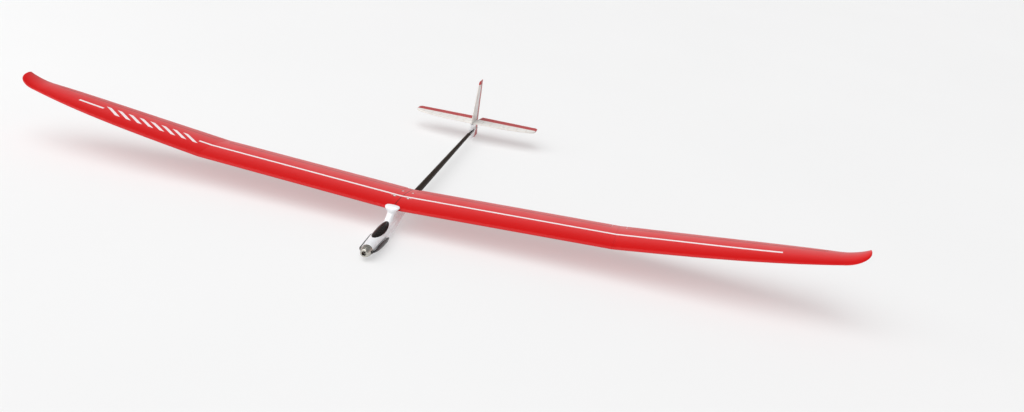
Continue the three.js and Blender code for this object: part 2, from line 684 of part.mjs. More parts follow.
function bladeSolid(pinHole) {
  const rings = BLADE_STATIONS.map(([along, chord, thick, out], i) => {
    const n = 10;
    const twist = THREE.MathUtils.degToRad(i < 2 ? 0 : 24 - 14 * (along / BLADE_LENGTH));
    const ring = [];
    for (let k = 0; k < n; k += 1) {
      const angle = (2 * Math.PI * k) / n;
      const [a, b] = [(chord / 2) * Math.cos(angle), (thick / 2) * Math.sin(angle)];
      const x = BLADE_PIN_X + out + b * Math.cos(twist) - a * Math.sin(twist);
      ring.push(new THREE.Vector3(x, PIN_Y + along, MOTOR_Z + a * Math.cos(twist) + b * Math.sin(twist)));
    }
    return ring;
  });
  const lug = toSolid(rodAlongZ(LUG.radius - 0.2, MOTOR_Z - LUG.halfThick, MOTOR_Z + LUG.halfThick,
    BLADE_PIN_X, PIN_Y, 16));
  return toSolid(loft(rings)).add(lug).subtract(pinHole);
}

// ---- radio and drive equipment ------------------------------------------------------------------

const TRAY = { z: -55, y0: -22, y1: 54, halfFront: 17, halfBack: 13.2 };
const TAIL_SERVO = { length: 23, width: 11, height: 18 };
const SERVO_POSITIONS = { rudder: { x: 6.4, y: 14 }, elevator: { x: -6.4, y: 14 } };

function buildEquipment() {
  add("speed_controller", boxAt(-11, 11, -166, -118, -73, -64), blueShrink);
  add("battery_pack", boxAt(-14, 14, -112, -34, -70, -48), blackPlastic);
  const tray = toSolid(plateXY([
    [TRAY.halfFront, TRAY.y0], [TRAY.halfBack, TRAY.y1],
    [-TRAY.halfBack, TRAY.y1], [-TRAY.halfFront, TRAY.y0],
  ], TRAY.z, 2));
  const pockets = Object.values(SERVO_POSITIONS).map(({ x, y }) => toSolid(boxAt(
    x - TAIL_SERVO.width / 2 - GAP, x + TAIL_SERVO.width / 2 + GAP,
    y - TAIL_SERVO.length / 2 - GAP, y + TAIL_SERVO.length / 2 + GAP, TRAY.z - 5, TRAY.z + 5)));
  add("servo_tray", pockets.reduce((plate, pocket) => plate.subtract(pocket), tray), plywood);
  for (const [kind, { x, y }] of Object.entries(SERVO_POSITIONS)) {
    const [l, w] = [TAIL_SERVO.length / 2, TAIL_SERVO.width / 2];
    const top = TRAY.z + 12;
    const bottom = top - TAIL_SERVO.height;
    add(`${kind}_servo`, boxAt(x - w, x + w, y - l, y + l, bottom, top), blackPlastic);
  }
  add("receiver", boxAt(-7, 7, 62, 96, -51, -43), blackPlastic);
  add("wing_plate", wingPlate(0).subtract(boltHoles()), plywood);
}

// ---- tail ---------------------------------------------------------------------------------------

// The part of the fin below the boom, and the collar that holds the boom.
const SUB_FIN_BOTTOM = -52;
const SUB_FIN_FRONT = [[1006, SUB_FIN_BOTTOM], [994, -40], [988, -12]];
const COLLAR = { y0: 1014, y1: 1043, wall: 2.2 };

function finOutline() {
  const curve = new THREE.QuadraticBezierCurve(
    new THREE.Vector2(966, -8), new THREE.Vector2(990, 60), new THREE.Vector2(1034, FIN_TOP));
  const front = curve.getPoints(8).map((point) => [point.x, point.y]);
  return [...SUB_FIN_FRONT, ...front, [FIN_HINGE + 6, FIN_TOP], [FIN_HINGE, -8],
    [rudderHingeY(SUB_FIN_BOTTOM), SUB_FIN_BOTTOM]];
}

function boomCollar() {
  const slice = toSolid(boxAt(-30, 30, COLLAR.y0, COLLAR.y1, -80, 20));
  return boomSolid(COLLAR.wall, true).intersect(slice);
}

function rudderHingeY(z) {
  return FIN_HINGE + ((z + 8) * 6) / (FIN_TOP + 8);
}

function buildTail() {
  const exits = toSolid(boxAt(-20, 20, ROD_EXIT_Y - 14, ROD_EXIT_Y + 44, boomZ(ROD_EXIT_Y) - 2.4,
    boomZ(ROD_EXIT_Y) + 9));
  add("tail_boom", boomSolid(0).subtract(exits), carbon);
  const fin = toSolid(plateYZ(finOutline(), FIN_THICK));
  const stabTop = STAB_Z + STAB_THICK / 2;
  const stabBottom = STAB_Z - STAB_THICK / 2;
  const above = toSolid(boxAt(-20, 20, 900, 1200, stabTop + GAP, 300));
  const below = toSolid(boxAt(-20, 20, 900, 1200, -100, stabBottom - GAP));
  add("fin", fin.intersect(above), whiteFilm);
  const mount = fin.intersect(below).add(boomCollar()).subtract(boomSolid(GAP, true));
  add("tail_mount", mount, whiteGelcoat);

  const outline = [
    [RUDDER_TOP, 30], [150, 32], [60, 35], [0, 40], [RUDDER_BOTTOM, 58],
  ].map(([z, chord]) => [rudderHingeY(z) + chord, z]);
  const front = (z) => rudderHingeY(z) + RUDDER_SLOT;
  const rudder = toSolid(plateYZ([
    [front(RUDDER_BOTTOM) + 2, RUDDER_BOTTOM], ...outline.reverse(),
    [1048, RUDDER_TOP - 2], [1035, FIN_TOP + 1], [front(FIN_TOP), FIN_TOP + 1],
  ], FIN_THICK - 2));
  const rudderHorn = toSolid(boxAt(0, RUDDER_HORN.reach, RUDDER_HORN.y - 3, RUDDER_HORN.y + 3,
    RUDDER_HORN.z - 1, RUDDER_HORN.z + 1));
  add("rudder", rudder.add(rudderHorn), redFilm);

  const half = (x) => Math.sqrt(Math.max(0, 1 - (Math.abs(x) / STAB_HALF_SPAN) ** 2.6));
  const steps = 9;
  const leading = [];
  for (let i = -steps; i <= steps; i += 1) {
    const x = STAB_HALF_SPAN * Math.sin((Math.PI / 2) * (i / steps));
    leading.push([x, ELEVATOR_HINGE - 8 - (ELEVATOR_HINGE - 8 - STAB_LE) * half(x)]);
  }
  const stab = toSolid(plateXY([...leading, [STAB_HALF_SPAN, ELEVATOR_HINGE - HINGE_SLOT],
    [-STAB_HALF_SPAN, ELEVATOR_HINGE - HINGE_SLOT]], STAB_Z, STAB_THICK));
  const slot = toSolid(boxAt(-TAIL_SLOT_X, TAIL_SLOT_X, FIN_HINGE - 6, 1200, -100, 100));
  add("stabilizer", stab.subtract(slot), whiteFilm);
  const elevator = toSolid(plateXY([
    [TAIL_SLOT_X, ELEVATOR_HINGE + ELEVATOR_SLOT], [STAB_HALF_SPAN, ELEVATOR_HINGE + ELEVATOR_SLOT],
    [STAB_HALF_SPAN + 1, STAB_TE - 14],
    [STAB_HALF_SPAN - 10, STAB_TE - 2], [TAIL_SLOT_X + 10.5, STAB_TE + 2],
  ], STAB_Z, STAB_THICK - 3));
  const horn = toSolid(boxAt(-ELEVATOR_HORN.x - 1, -ELEVATOR_HORN.x + 1,
    ELEVATOR_HINGE + 1.5, ELEVATOR_HINGE + 7, STAB_Z - ELEVATOR_HORN.drop, STAB_Z));
  add("elevator_left", elevator.subtract(elevatorWire(GAP)), redFilm);
  add("elevator_right", mirrored(elevator).add(horn).subtract(elevatorWire(GAP)), redFilm);
  add("elevator_joiner", elevatorWire(0), steel);
}

// Bent wire that joins the elevator halves in front of the rudder.
function elevatorWire(grow) {
  const r = 1 + grow;
  const [inner, outer] = [TAIL_SLOT_X - 1.8, TAIL_SLOT_X + 17 + grow];
  const [front, back] = [ELEVATOR_HINGE - 4, ELEVATOR_HINGE + 6];
  const bar = (x0, x1, y0, y1) => toSolid(boxAt(x0 - r, x1 + r, y0 - r, y1 + r, STAB_Z - r, STAB_Z + r));
  const pieces = [bar(-inner, inner, front, front)];
  for (const side of [-1, 1]) {
    pieces.push(bar(side * inner, side * inner, front, back));
    pieces.push(bar(Math.min(side * inner, side * outer), Math.max(side * inner, side * outer), back, back));
  }
  return pieces.reduce((all, piece) => all.add(piece));
}

// ---- pushrods -----------------------------------------------------------------------------------

// A round rod along a bent line of points.
function bentRod(points, r) {
  const pieces = [];
  for (let i = 0; i + 1 < points.length; i += 1) {
    pieces.push(toSolid(barBetween(points[i], points[i + 1], r, 8)));
    if (i > 0) pieces.push(toSolid(new THREE.SphereGeometry(r, 8, 6).translate(...points[i].toArray())));
  }
  return pieces.reduce((all, piece) => all.add(piece));
}

const ROD_R = 0.9;
const ARM_REACH = 9;
const ARM_Z = TRAY.z + 12 + GAP;

function buildPushrods() {
  const v = (x, y, z) => new THREE.Vector3(x, y, z);
  for (const [kind, side] of [["rudder", 1], ["elevator", -1]]) {
    const { x, y } = SERVO_POSITIONS[kind];
    const pivotY = y - 6;
    const [near, far] = [x - side * 3, x + side * (ARM_REACH + 1.5)];
    add(`${kind}_servo_arm`, boxAt(Math.min(near, far), Math.max(near, far), pivotY - 2.5, pivotY + 2.5,
      ARM_Z, ARM_Z + 2), whiteFilm);
    const start = v(x + side * ARM_REACH, pivotY, ARM_Z + 2 + GAP + ROD_R);
    const inBoom = v(side * 2.6, BOOM.y0 + 8, boomZ(BOOM.y0 + 8));
    const leave = v(side * 2.6, ROD_EXIT_Y, boomZ(ROD_EXIT_Y));
    const tail = kind === "rudder"
      ? [v(9.6, ROD_EXIT_Y + 40, RUDDER_HORN.z + 2.4), v(9.6, RUDDER_HORN.y, RUDDER_HORN.z + 2.4)]
      : [v(-10, ROD_EXIT_Y + 40, -8),
        v(-ELEVATOR_HORN.x - 2.5, ELEVATOR_HINGE + 4, STAB_Z - ELEVATOR_HORN.drop + 2)];
    add(`${kind}_pushrod`, bentRod([start, inBoom, leave, ...tail], ROD_R), steel);
  }
}

buildFuselage();
buildWing();
buildMotor();
buildPropeller();
buildEquipment();
buildTail();
buildPushrods();

const sailplane = new THREE.Group();
sailplane.add(aircraft);

export default sailplane;
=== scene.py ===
"""Looks for the electric radio-controlled sailplane.

Shapes are built in millimetres in the aircraft's own axes: the origin is the leading edge of the wing root
on the centre line, +X is the left wing, -Y is the nose and +Z is up. TO_ROW turns them into the row frame.
"""

import json
from math import atan2, copysign, cos, pi, radians, sin, sqrt, tan

import bmesh
import bpy
from mathutils import Euler, Matrix, Vector


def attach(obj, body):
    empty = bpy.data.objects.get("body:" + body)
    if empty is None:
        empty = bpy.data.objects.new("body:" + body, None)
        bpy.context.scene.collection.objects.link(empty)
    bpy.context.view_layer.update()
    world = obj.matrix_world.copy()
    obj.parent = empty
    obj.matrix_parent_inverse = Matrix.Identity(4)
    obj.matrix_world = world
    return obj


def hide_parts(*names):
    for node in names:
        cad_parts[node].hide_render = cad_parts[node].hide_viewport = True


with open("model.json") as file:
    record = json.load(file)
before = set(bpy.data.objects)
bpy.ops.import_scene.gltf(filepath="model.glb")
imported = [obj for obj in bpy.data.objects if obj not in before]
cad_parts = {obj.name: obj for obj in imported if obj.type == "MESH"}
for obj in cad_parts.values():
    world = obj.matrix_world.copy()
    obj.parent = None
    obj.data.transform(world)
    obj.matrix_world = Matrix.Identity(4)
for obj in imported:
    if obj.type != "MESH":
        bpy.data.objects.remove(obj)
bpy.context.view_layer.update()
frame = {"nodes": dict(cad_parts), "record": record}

# ---- the aircraft's axes in the row frame ----

BELLY = Vector((0, -80, -80.7))
PITCH = atan2(20.7, 1188)
TURN = Matrix.Rotation(-PITCH, 4, "X")
TO_ROW = Matrix.Scale(0.001, 4) @ TURN @ Matrix.Translation(-BELLY)

GAP = 0.4
HALF_SPAN = 1485
BREAK_X = 727
TIP_X = 1400
THICKNESS = 0.085
CAMBER = 0.028
INCIDENCE = radians(2.9)
HINGE_AT = 0.8
HINGE_SLOT = 0.6
FLAP_SPAN = (24, 703)
AILERON_SPAN = (751, 1368)
STRIPE_AT = 0.43
SERVO_X = {"flap": 330, "aileron": 960}
MOTOR_Z = -56
NOSE_Y = -212


# ---- node helpers ----

class Nodes:
    """A material being wired: every method adds a node and returns its output socket."""

    def __init__(self, name):
        self.material = bpy.data.materials.new(name)
        self.material.use_nodes = True
        self.tree = self.material.node_tree
        self.shader = self.tree.nodes["Principled BSDF"]

    def add(self, kind, **settings):
        node = self.tree.nodes.new(kind)
        for key, value in settings.items():
            setattr(node, key, value)
        return node

    def link(self, source, socket):
        """Wires a socket, or sets it to a number or to an RGB colour."""
        if isinstance(source, bpy.types.NodeSocket):
            self.tree.links.new(source, socket)
        else:
            socket.default_value = (*source, 1) if isinstance(source, tuple) else source

    def math(self, operation, a, b=0.0):
        node = self.add("ShaderNodeMath", operation=operation)
        self.link(a, node.inputs[0])
        self.link(b, node.inputs[1])
        return node.outputs[0]

    def place(self, scale=(1, 1, 1)):
        coords = self.add("ShaderNodeTexCoord").outputs["Object"]
        mapping = self.add("ShaderNodeMapping")
        mapping.inputs["Scale"].default_value = scale
        self.link(coords, mapping.inputs["Vector"])
        return mapping.outputs[0]

    def noise(self, scale, detail=3.0, stretch=(1, 1, 1), roughness=0.5):
        node = self.add("ShaderNodeTexNoise")
        node.inputs["Scale"].default_value = scale
        node.inputs["Detail"].default_value = detail
        node.inputs["Roughness"].default_value = roughness
        self.link(self.place(stretch), node.inputs["Vector"])
        return node.outputs["Fac"]

    def attribute(self, name):
        return self.add("ShaderNodeAttribute", attribute_name=name).outputs["Fac"]

    def ramp(self, value, stops):
        node = self.add("ShaderNodeValToRGB")
        ramp = node.color_ramp
        while len(ramp.elements) < len(stops):
            ramp.elements.new(0.5)
        for element, (position, colour) in zip(ramp.elements, stops):
            element.position = position
            element.color = (*colour, 1)
        self.link(value, node.inputs["Fac"])
        return node.outputs["Color"]

    def range(self, value, low, high, to_low=0.0, to_high=1.0):
        node = self.add("ShaderNodeMapRange", clamp=True)
        for socket, number in zip(node.inputs[1:5], (low, high, to_low, to_high)):
            socket.default_value = number
        self.link(value, node.inputs[0])
        return node.outputs[0]

    def wander(self, scale, low, high, detail=3.0):
        """A value that drifts between low and high with a noise of its own."""
        return self.range(self.noise(scale, detail), 0.3, 0.7, low, high)

    def mix(self, amount, a, b):
        node = self.add("ShaderNodeMix", data_type="RGBA")
        for index, source in ((0, amount), (6, a), (7, b)):
            self.link(source, node.inputs[index])
        return node.outputs[2]

    def band(self, value, low, high, soft):
        """1 between low and high, with soft edges."""
        rise = self.range(value, low - soft, low + soft)
        fall = self.range(value, high - soft, high + soft, 1.0, 0.0)
        return self.math("MULTIPLY", rise, fall)

    def bump(self, height, strength, distance):
        node = self.add("ShaderNodeBump")
        node.inputs["Strength"].default_value = strength
        node.inputs["Distance"].default_value = distance
        self.link(height, node.inputs["Height"])
        self.link(node.outputs[0], self.shader.inputs["Normal"])

    def finish(self, colour, roughness, **fixed):
        self.link(colour, self.shader.inputs["Base Color"])
        self.link(roughness, self.shader.inputs["Roughness"])
        names = {"metallic": "Metallic", "coat": "Coat Weight", "coat_roughness": "Coat Roughness",
                 "specular": "Specular IOR Level"}
        for key, value in fixed.items():
            self.shader.inputs[names[key]].default_value = value
        return self.material


def red_film():
    """Glossy red film of the wing, painted deep red at the nose and paler towards the trailing edge as a
    painted reflection of the bright surroundings, with the white stripe and the slanted white bars on the
    right outer panel."""
    n = Nodes("red_film")
    names = ("chord", "top", "span", "across", "behind")
    chord, top, span, across, behind = (n.attribute(name) for name in names)
    reflection_share = n.math("ADD", chord, n.range(n.noise(5, 2, (1, 3, 1)), 0.2, 0.8, -0.01, 0.01))
    # Painted reflection: the red runs from deep at the nose to paler towards the trailing edge, where the
    # glossy film would mirror the bright surroundings.
    red = n.ramp(reflection_share, [
        (0.0, (0.54, 0.0004, 0.0008)), (0.16, (0.60, 0.0006, 0.001)), (0.3, (0.67, 0.006, 0.008)),
        (0.62, (0.68, 0.020, 0.023)), (1.0, (0.58, 0.055, 0.056))])
    n.bump(n.noise(60, 2), 0.03, 0.0003)
    red = n.mix(n.band(behind, -0.0024, 0.0024, 0.0006), red, (0.30, 0.010, 0.012))
    red = n.mix(n.band(span, -0.0013, 0.0013, 0.0004), red, (0.16, 0.004, 0.005))
    line = n.band(across, -0.0058, 0.0058, 0.0003)
    inner = n.band(span, -0.775, 1.232, 0.0005)
    outer = n.band(span, -1.242, -1.145, 0.0005)
    stripe = n.math("MULTIPLY", line, n.math("MAXIMUM", inner, outer))
    slant = n.math("ADD", span, n.math("MULTIPLY", across, 1.3))
    steps = n.math("MULTIPLY", n.math("ADD", slant, 1.128), 1 / 0.0425)
    phase = n.math("FRACT", n.math("ADD", steps, 40.0))
    bars = n.math("MULTIPLY", n.band(phase, 0.28, 0.72, 0.012), n.band(across, -0.025, 0.026, 0.0005))
    bars = n.math("MULTIPLY", bars, n.band(steps, 0.0, 8.0, 0.01))
    white = n.math("MULTIPLY", n.math("MAXIMUM", stripe, bars), top)
    return n.finish(n.mix(white, red, (0.86, 0.78, 0.79)), n.wander(12, 0.3, 0.36), specular=0.2)


def tail_film():
    """The same red film on the rudder and elevator, without stripe or bars."""
    n = Nodes("red_film_tail")
    n.bump(n.noise(60, 2), 0.03, 0.0003)
    red = n.ramp(n.noise(5, 2, (1, 3, 1)), [(0.3, (0.40, 0.014, 0.015)), (0.7, (0.44, 0.018, 0.019))])
    return n.finish(red, n.wander(12, 0.3, 0.36), specular=0.2)


def white_film():
    """Translucent white film over balsa: the ribs and edges show through as warmer bands."""
    n = Nodes("white_film")
    rib = n.attribute("rib")
    grain = n.noise(60, 4, (1, 6, 6))
    base = n.ramp(grain, [(0.3, (0.74, 0.715, 0.68)), (0.7, (0.80, 0.785, 0.76))])
    colour = n.mix(n.math("MULTIPLY", rib, 0.3), base, (0.60, 0.50, 0.42))
    n.bump(n.noise(180, 2), 0.08, 0.0003)
    return n.finish(colour, n.wander(35, 0.26, 0.4), coat=0.2, coat_roughness=0.2)


def moulded(name, tone, stops, grain, strength, gloss, **fixed):
    """A moulded or sprayed surface: colour, fine bumps and gloss each drift with a noise of their own."""
    n = Nodes(name)
    colour = n.ramp(n.noise(*tone), stops)
    n.bump(n.noise(*grain), strength, 0.0002)
    return n.finish(colour, n.wander(*gloss), **fixed)


def carbon():
    """Wrapped carbon: fine bands that wind round the boom under a satin resin."""
    n = Nodes("carbon")
    wave = n.add("ShaderNodeTexWave", wave_type="BANDS", bands_direction="DIAGONAL")
    wave.inputs["Scale"].default_value = 150
    wave.inputs["Distortion"].default_value = 1.2
    wave.inputs["Detail"].default_value = 2
    n.link(n.place(), wave.inputs["Vector"])
    fibre = n.math("MULTIPLY", wave.outputs["Fac"], n.noise(900, 2, (1, 0.15, 1)))
    colour = n.ramp(fibre, [(0.1, (0.014, 0.008, 0.005)), (0.6, (0.040, 0.023, 0.015))])
    n.bump(fibre, 0.03, 0.0001)
    return n.finish(colour, n.range(fibre, 0.1, 0.6, 0.5, 0.4), specular=0.1)


def metal(name, colour, roughness, rings=0.0):
    """Turned metal: fine tool rings along the aircraft's length, if any, and a slightly uneven polish."""
    n = Nodes(name)
    lines = n.noise(1400, 1, (0.05, 1, 0.05)) if rings else n.noise(500, 3)
    tint = n.ramp(n.noise(20, 3), [(0.3, tuple(0.95 * c for c in colour)), (0.7, colour)])
    n.bump(lines, 0.04 + rings, 0.0001)
    return n.finish(tint, n.range(lines, 0.3, 0.7, roughness * 0.9, roughness * 1.1), metallic=1.0)


def plastic(name, dark, light, roughness, coat=0.0, grain=700, strength=0.2):
    return moulded(name, (45, 4), [(0.3, dark), (0.7, light)], (grain, 3), strength,
                   (80, roughness * 0.85, roughness * 1.15), coat=coat)


def plywood():
    n = Nodes("plywood")
    grain = n.noise(120, 5, (1, 0.08, 2.5), 0.6)
    colour = n.ramp(grain, [(0.3, (0.42, 0.26, 0.13)), (0.55, (0.58, 0.40, 0.22)),
                            (0.75, (0.66, 0.48, 0.28))])
    n.bump(grain, 0.3, 0.0003)
    return n.finish(colour, 0.68)


def floor_material():
    """A pale studio floor that gives off a little light of its own, so that the shadows stay light."""
    n = Nodes("studio_floor")
    colour = n.ramp(n.noise(0.8, 2), [(0.3, (0.46, 0.46, 0.46)), (0.7, (0.47, 0.47, 0.47))])
    n.shader.inputs["Emission Color"].default_value = (1, 1, 1, 1)
    n.shader.inputs["Emission Strength"].default_value = 0.40
    return n.finish(colour, 0.75, specular=0.1)


RED = red_film()
RED_PLAIN = tail_film()
WHITE_FILM = white_film()
WHITE = moulded("gelcoat_white", (14, 4), [(0.35, (0.80, 0.80, 0.825)), (0.65, (0.86, 0.86, 0.875))],
                (420, 2), 0.05, (50, 0.12, 0.2, 4), coat=0.6, coat_roughness=0.06)
BLACK = moulded("gelcoat_black", (300, 3), [(0.35, (0.004, 0.0022, 0.0016)), (0.7, (0.009, 0.0052, 0.004))],
                (420, 2), 0.03, (60, 0.22, 0.3, 4), specular=0.2)
CARBON = carbon()
CHAMPAGNE = metal("champagne_metal", (0.52, 0.50, 0.45), 0.26, rings=0.05)
STEEL = metal("steel", (0.56, 0.56, 0.57), 0.28)
BLADE = plastic("blade_black", (0.010, 0.010, 0.010), (0.02, 0.02, 0.019), 0.34, coat=0.2, strength=0.1)
MOTOR = plastic("motor_black", (0.012, 0.012, 0.013), (0.025, 0.025, 0.027), 0.4)
PLYWOOD = plywood()
SERVO = plastic("servo_case", (0.014, 0.014, 0.015), (0.03, 0.03, 0.032), 0.5)
NYLON = plastic("white_nylon", (0.70, 0.69, 0.65), (0.78, 0.77, 0.74), 0.45, strength=0.12)
BLUE = plastic("blue_shrink", (0.012, 0.05, 0.24), (0.02, 0.08, 0.34), 0.3, coat=0.3, grain=90, strength=0.35)
WRAP = plastic("battery_wrap", (0.02, 0.02, 0.024), (0.045, 0.045, 0.05), 0.28, coat=0.3, grain=70,
               strength=0.35)

BY_SLOT = {
    "white_gelcoat": WHITE, "black_gelcoat": BLACK, "red_film": RED_PLAIN, "white_film": WHITE_FILM,
    "carbon": CARBON, "spinner_metal": CHAMPAGNE, "blade_black": BLADE, "steel": STEEL, "motor_black": MOTOR,
    "plywood": PLYWOOD, "servo_case": SERVO, "white_nylon": NYLON, "blue_shrink": BLUE, "battery_wrap": WRAP,
}
SLOT_OF = {part["node"]: part["material_slot"] for part in frame["record"]["subparts"]}

for node_name, node_object in frame["nodes"].items():
    node_object.data.materials.clear()
    node_object.data.materials.append(BY_SLOT[SLOT_OF[node_name]])


# ---- mesh helpers ----

def lerp(a, b, t):
    return a + (b - a) * t


def smooth_table(rows, at):
    """Smooth interpolation of the columns of rows by their first column."""
    keys = [row[0] for row in rows]
    k = max(0, min(len(rows) - 2, sum(1 for key in keys if key <= at) - 1))
    width = keys[k + 1] - keys[k]
    t = max(0.0, min(1.0, (at - keys[k]) / width))

    def slope(i, column):
        a, b = max(0, i - 1), min(len(rows) - 1, i + 1)
        return (rows[b][column] - rows[a][column]) / (keys[b] - keys[a])

    values = []
    for column in range(1, len(rows[0])):
        p, q = rows[k][column], rows[k + 1][column]
        m, w = slope(k, column) * width, slope(k + 1, column) * width
        values.append((2 * t**3 - 3 * t**2 + 1) * p + (t**3 - 2 * t**2 + t) * m
                      + (3 * t**2 - 2 * t**3) * q + (t**3 - t**2) * w)
    return values


def circle(n):
    """The cosine and sine of n equal steps round a circle."""
    return [(cos(2 * pi * i / n), sin(2 * pi * i / n)) for i in range(n)]


def skin(rings, closed_ends=True):
    """Faces over a row of closed rings of equal length, with the ends closed by strips."""
    n = len(rings[0])
    faces = []
    for r in range(len(rings) - 1):
        for i in range(n):
            a, b = r * n + i, r * n + (i + 1) % n
            faces.append((a, b, b + n, a + n))
    if closed_ends:
        for base in (0, (len(rings) - 1) * n):
            for i in range(n // 2):
                quad = [base + i, base + i + 1, base + (n - i - 1) % n, base + (n - i) % n]
                kept = [v for k, v in enumerate(quad) if v not in quad[:k]]
                if len(kept) > 2:
                    faces.append(tuple(kept) if base else tuple(reversed(kept)))
    return [p for ring in rings for p in ring], faces


def raw_object(name, mesh):
    obj = bpy.data.objects.new(name, mesh)
    bpy.context.scene.collection.objects.link(obj)
    return obj


def closed_object(name, points, faces, weld=1e-3):
    """An object of these faces, turned outward; points closer than weld are joined, unless it is 0."""
    mesh = bpy.data.meshes.new(name)
    mesh.from_pydata([tuple(p) for p in points], [], faces)
    mesh.update()
    bm = bmesh.new()
    bm.from_mesh(mesh)
    if weld:
        bmesh.ops.remove_doubles(bm, verts=bm.verts, dist=weld)
        bmesh.ops.dissolve_degenerate(bm, edges=bm.edges, dist=weld * 0.1)
    bmesh.ops.recalc_face_normals(bm, faces=bm.faces)
    bm.to_mesh(mesh)
    bm.free()
    return raw_object(name, mesh)


def apply_modifier(obj, kind, **settings):
    modifier = obj.modifiers.new(kind.lower(), kind)
    for key, value in settings.items():
        setattr(modifier, key, value)
    bpy.context.view_layer.update()
    result = bpy.data.meshes.new_from_object(obj.evaluated_get(bpy.context.evaluated_depsgraph_get()))
    obj.modifiers.clear()
    old = obj.data
    obj.data = result
    bpy.data.meshes.remove(old)


def combine(obj, tool, operation):
    apply_modifier(obj, "BOOLEAN", object=tool, operation=operation, solver="EXACT")
    bpy.data.objects.remove(tool)


def solid(name, rings, weld=1e-3):
    return closed_object(name, *skin(rings), weld)


def box_solid(name, low, high, bevel=0.0):
    corners = [(x, y, z) for x in (low[0], high[0]) for y in (low[1], high[1]) for z in (low[2], high[2])]
    faces = [(0, 1, 3, 2), (4, 6, 7, 5), (0, 4, 5, 1), (2, 3, 7, 6), (0, 2, 6, 4), (1, 5, 7, 3)]
    obj = closed_object(name, corners, faces)
    if bevel:
        apply_modifier(obj, "BEVEL", width=bevel, segments=3, limit_method="ANGLE")
    return obj


def lathe(name, profile, origin, axis="Y", sides=64):
    """A turned solid; the profile is a closed list of (radius, position along the axis)."""
    points = []
    for across, up in circle(sides):
        for radius, along in profile:
            u, v = radius * across, radius * up
            local = {"Y": (u, along, v), "Z": (u, v, along), "X": (along, u, v)}[axis]
            points.append(Vector(local) + Vector(origin))
    n = len(profile)
    faces = []
    for r in range(sides):
        here, there = r * n, (r + 1) % sides * n
        faces += [(here + i, here + (i + 1) % n, there + (i + 1) % n, there + i) for i in range(n)]
    return closed_object(name, points, faces)


def rod(name, points, radius, sides=12):
    """A round wire through the points, with rounded bends left to its many points."""
    rings = []
    for i, point in enumerate(points):
        before, after = points[max(0, i - 1)], points[min(len(points) - 1, i + 1)]
        along = (Vector(after) - Vector(before)).normalized()
        side = along.cross(Vector((0, 0, 1)) if abs(along.z) < 0.9 else Vector((0, 1, 0))).normalized()
        up = side.cross(along)
        rings.append([Vector(point) + radius * (c * side + s * up) for c, s in circle(sides)])
    return solid(name, rings)


def box_cut(obj, low, high):
    combine(obj, box_solid("cutter", low, high), "DIFFERENCE")


def drill(obj, radius, span, origin, axis, sides=16):
    """Cuts a round hole over a span of the axis."""
    profile = [(0, span[0]), (radius, span[0]), (radius, span[1]), (0, span[1])]
    combine(obj, lathe("cutter", profile, origin, axis, sides), "DIFFERENCE")


def rounded_path(corners, radius, steps=5):
    """The corner points of a bent wire, each corner turned into an arc-like bend."""
    path = [Vector(corners[0])]
    for before, corner, after in zip(corners, corners[1:], corners[2:]):
        corner = Vector(corner)
        into, out = (Vector(before) - corner), (Vector(after) - corner)
        reach = min(radius, into.length / 2.2, out.length / 2.2)
        start, end = corner + into.normalized() * reach, corner + out.normalized() * reach
        for k in range(steps + 1):
            t = k / steps
            path.append(start * (1 - t) ** 2 + corner * 2 * t * (1 - t) + end * t**2)
    path.append(Vector(corners[-1]))
    return path


def add_piece(obj, body, material, nodes=(), angle=35):
    """Places a finished object in the row frame and makes it ride on its body."""
    mesh = obj.data
    mesh.transform(TO_ROW)
    mesh.materials.clear()
    mesh.materials.append(material)
    mesh.shade_smooth()
    mesh.set_sharp_from_angle(angle=radians(angle))
    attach(obj, body)
    if nodes:
        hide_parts(*nodes)
    return obj


def mirror_copy(obj, name):
    mesh = obj.data.copy()
    mesh.transform(Matrix.Scale(-1, 4, (1, 0, 0)))
    mesh.flip_normals()
    return raw_object(name, mesh)


# ---- wing ----

def wing_station(x):
    """Leading edge, chord and height at a distance x from the centre line."""
    x = abs(x)
    outer = max(0.0, x - BREAK_X)
    tip = max(0.0, min(1.0, (x - TIP_X) / (HALF_SPAN - TIP_X)))
    u = outer / (TIP_X - BREAK_X)
    leading = 20 * x / BREAK_X if x <= BREAK_X else 20 - 16 * u + 50 * min(u, 1) ** 3
    leading += 8 * tip + 80 * (1 - (1 - tip**2.6) ** (1 / 2.6))
    share = outer / (HALF_SPAN - BREAK_X)
    trailing = 232 + 13 * min(x, BREAK_X) / BREAK_X - 96 * share + 24 * share * (1 - share**6)
    height = min(x, BREAK_X) * tan(radians(2)) + outer * tan(radians(8.3))
    return leading, trailing - leading, height + 19 * tip**2


def surface_span(x):
    """The ends of the flap or aileron at x."""
    return FLAP_SPAN if abs(x) < BREAK_X else AILERON_SPAN


def hinge_share(x):
    """The chord share of the hinge line, which runs straight from one end of its surface to the other."""
    x = abs(x)
    span = surface_span(x)
    ends = [leading + HINGE_AT * chord for leading, chord, _ in (wing_station(end) for end in span)]
    t = (x - span[0]) / (span[1] - span[0])
    leading, chord, _ = wing_station(x)
    return (lerp(ends[0], ends[1], t) - leading) / chord


def surface_height(u, side):
    bow = 5 * THICKNESS * (0.2969 * sqrt(u) - 0.126 * u - 0.3516 * u**2 + 0.2843 * u**3 - 0.1036 * u**4)
    return 4 * CAMBER * u * (1 - u) + side * bow


def wing_point(x, u, side):
    """A point of the skin: side is +1 on top and -1 underneath; values between lie inside the wing."""
    leading, chord, height = wing_station(x)
    y = u * chord
    bow = surface_height(u, 1) - surface_height(u, 0)
    z = (surface_height(u, 0) + side * bow) * chord + side * 0.5 * u
    return Vector((x, leading + y * cos(INCIDENCE) + z * sin(INCIDENCE),
                   height - y * sin(INCIDENCE) + z * cos(INCIDENCE)))


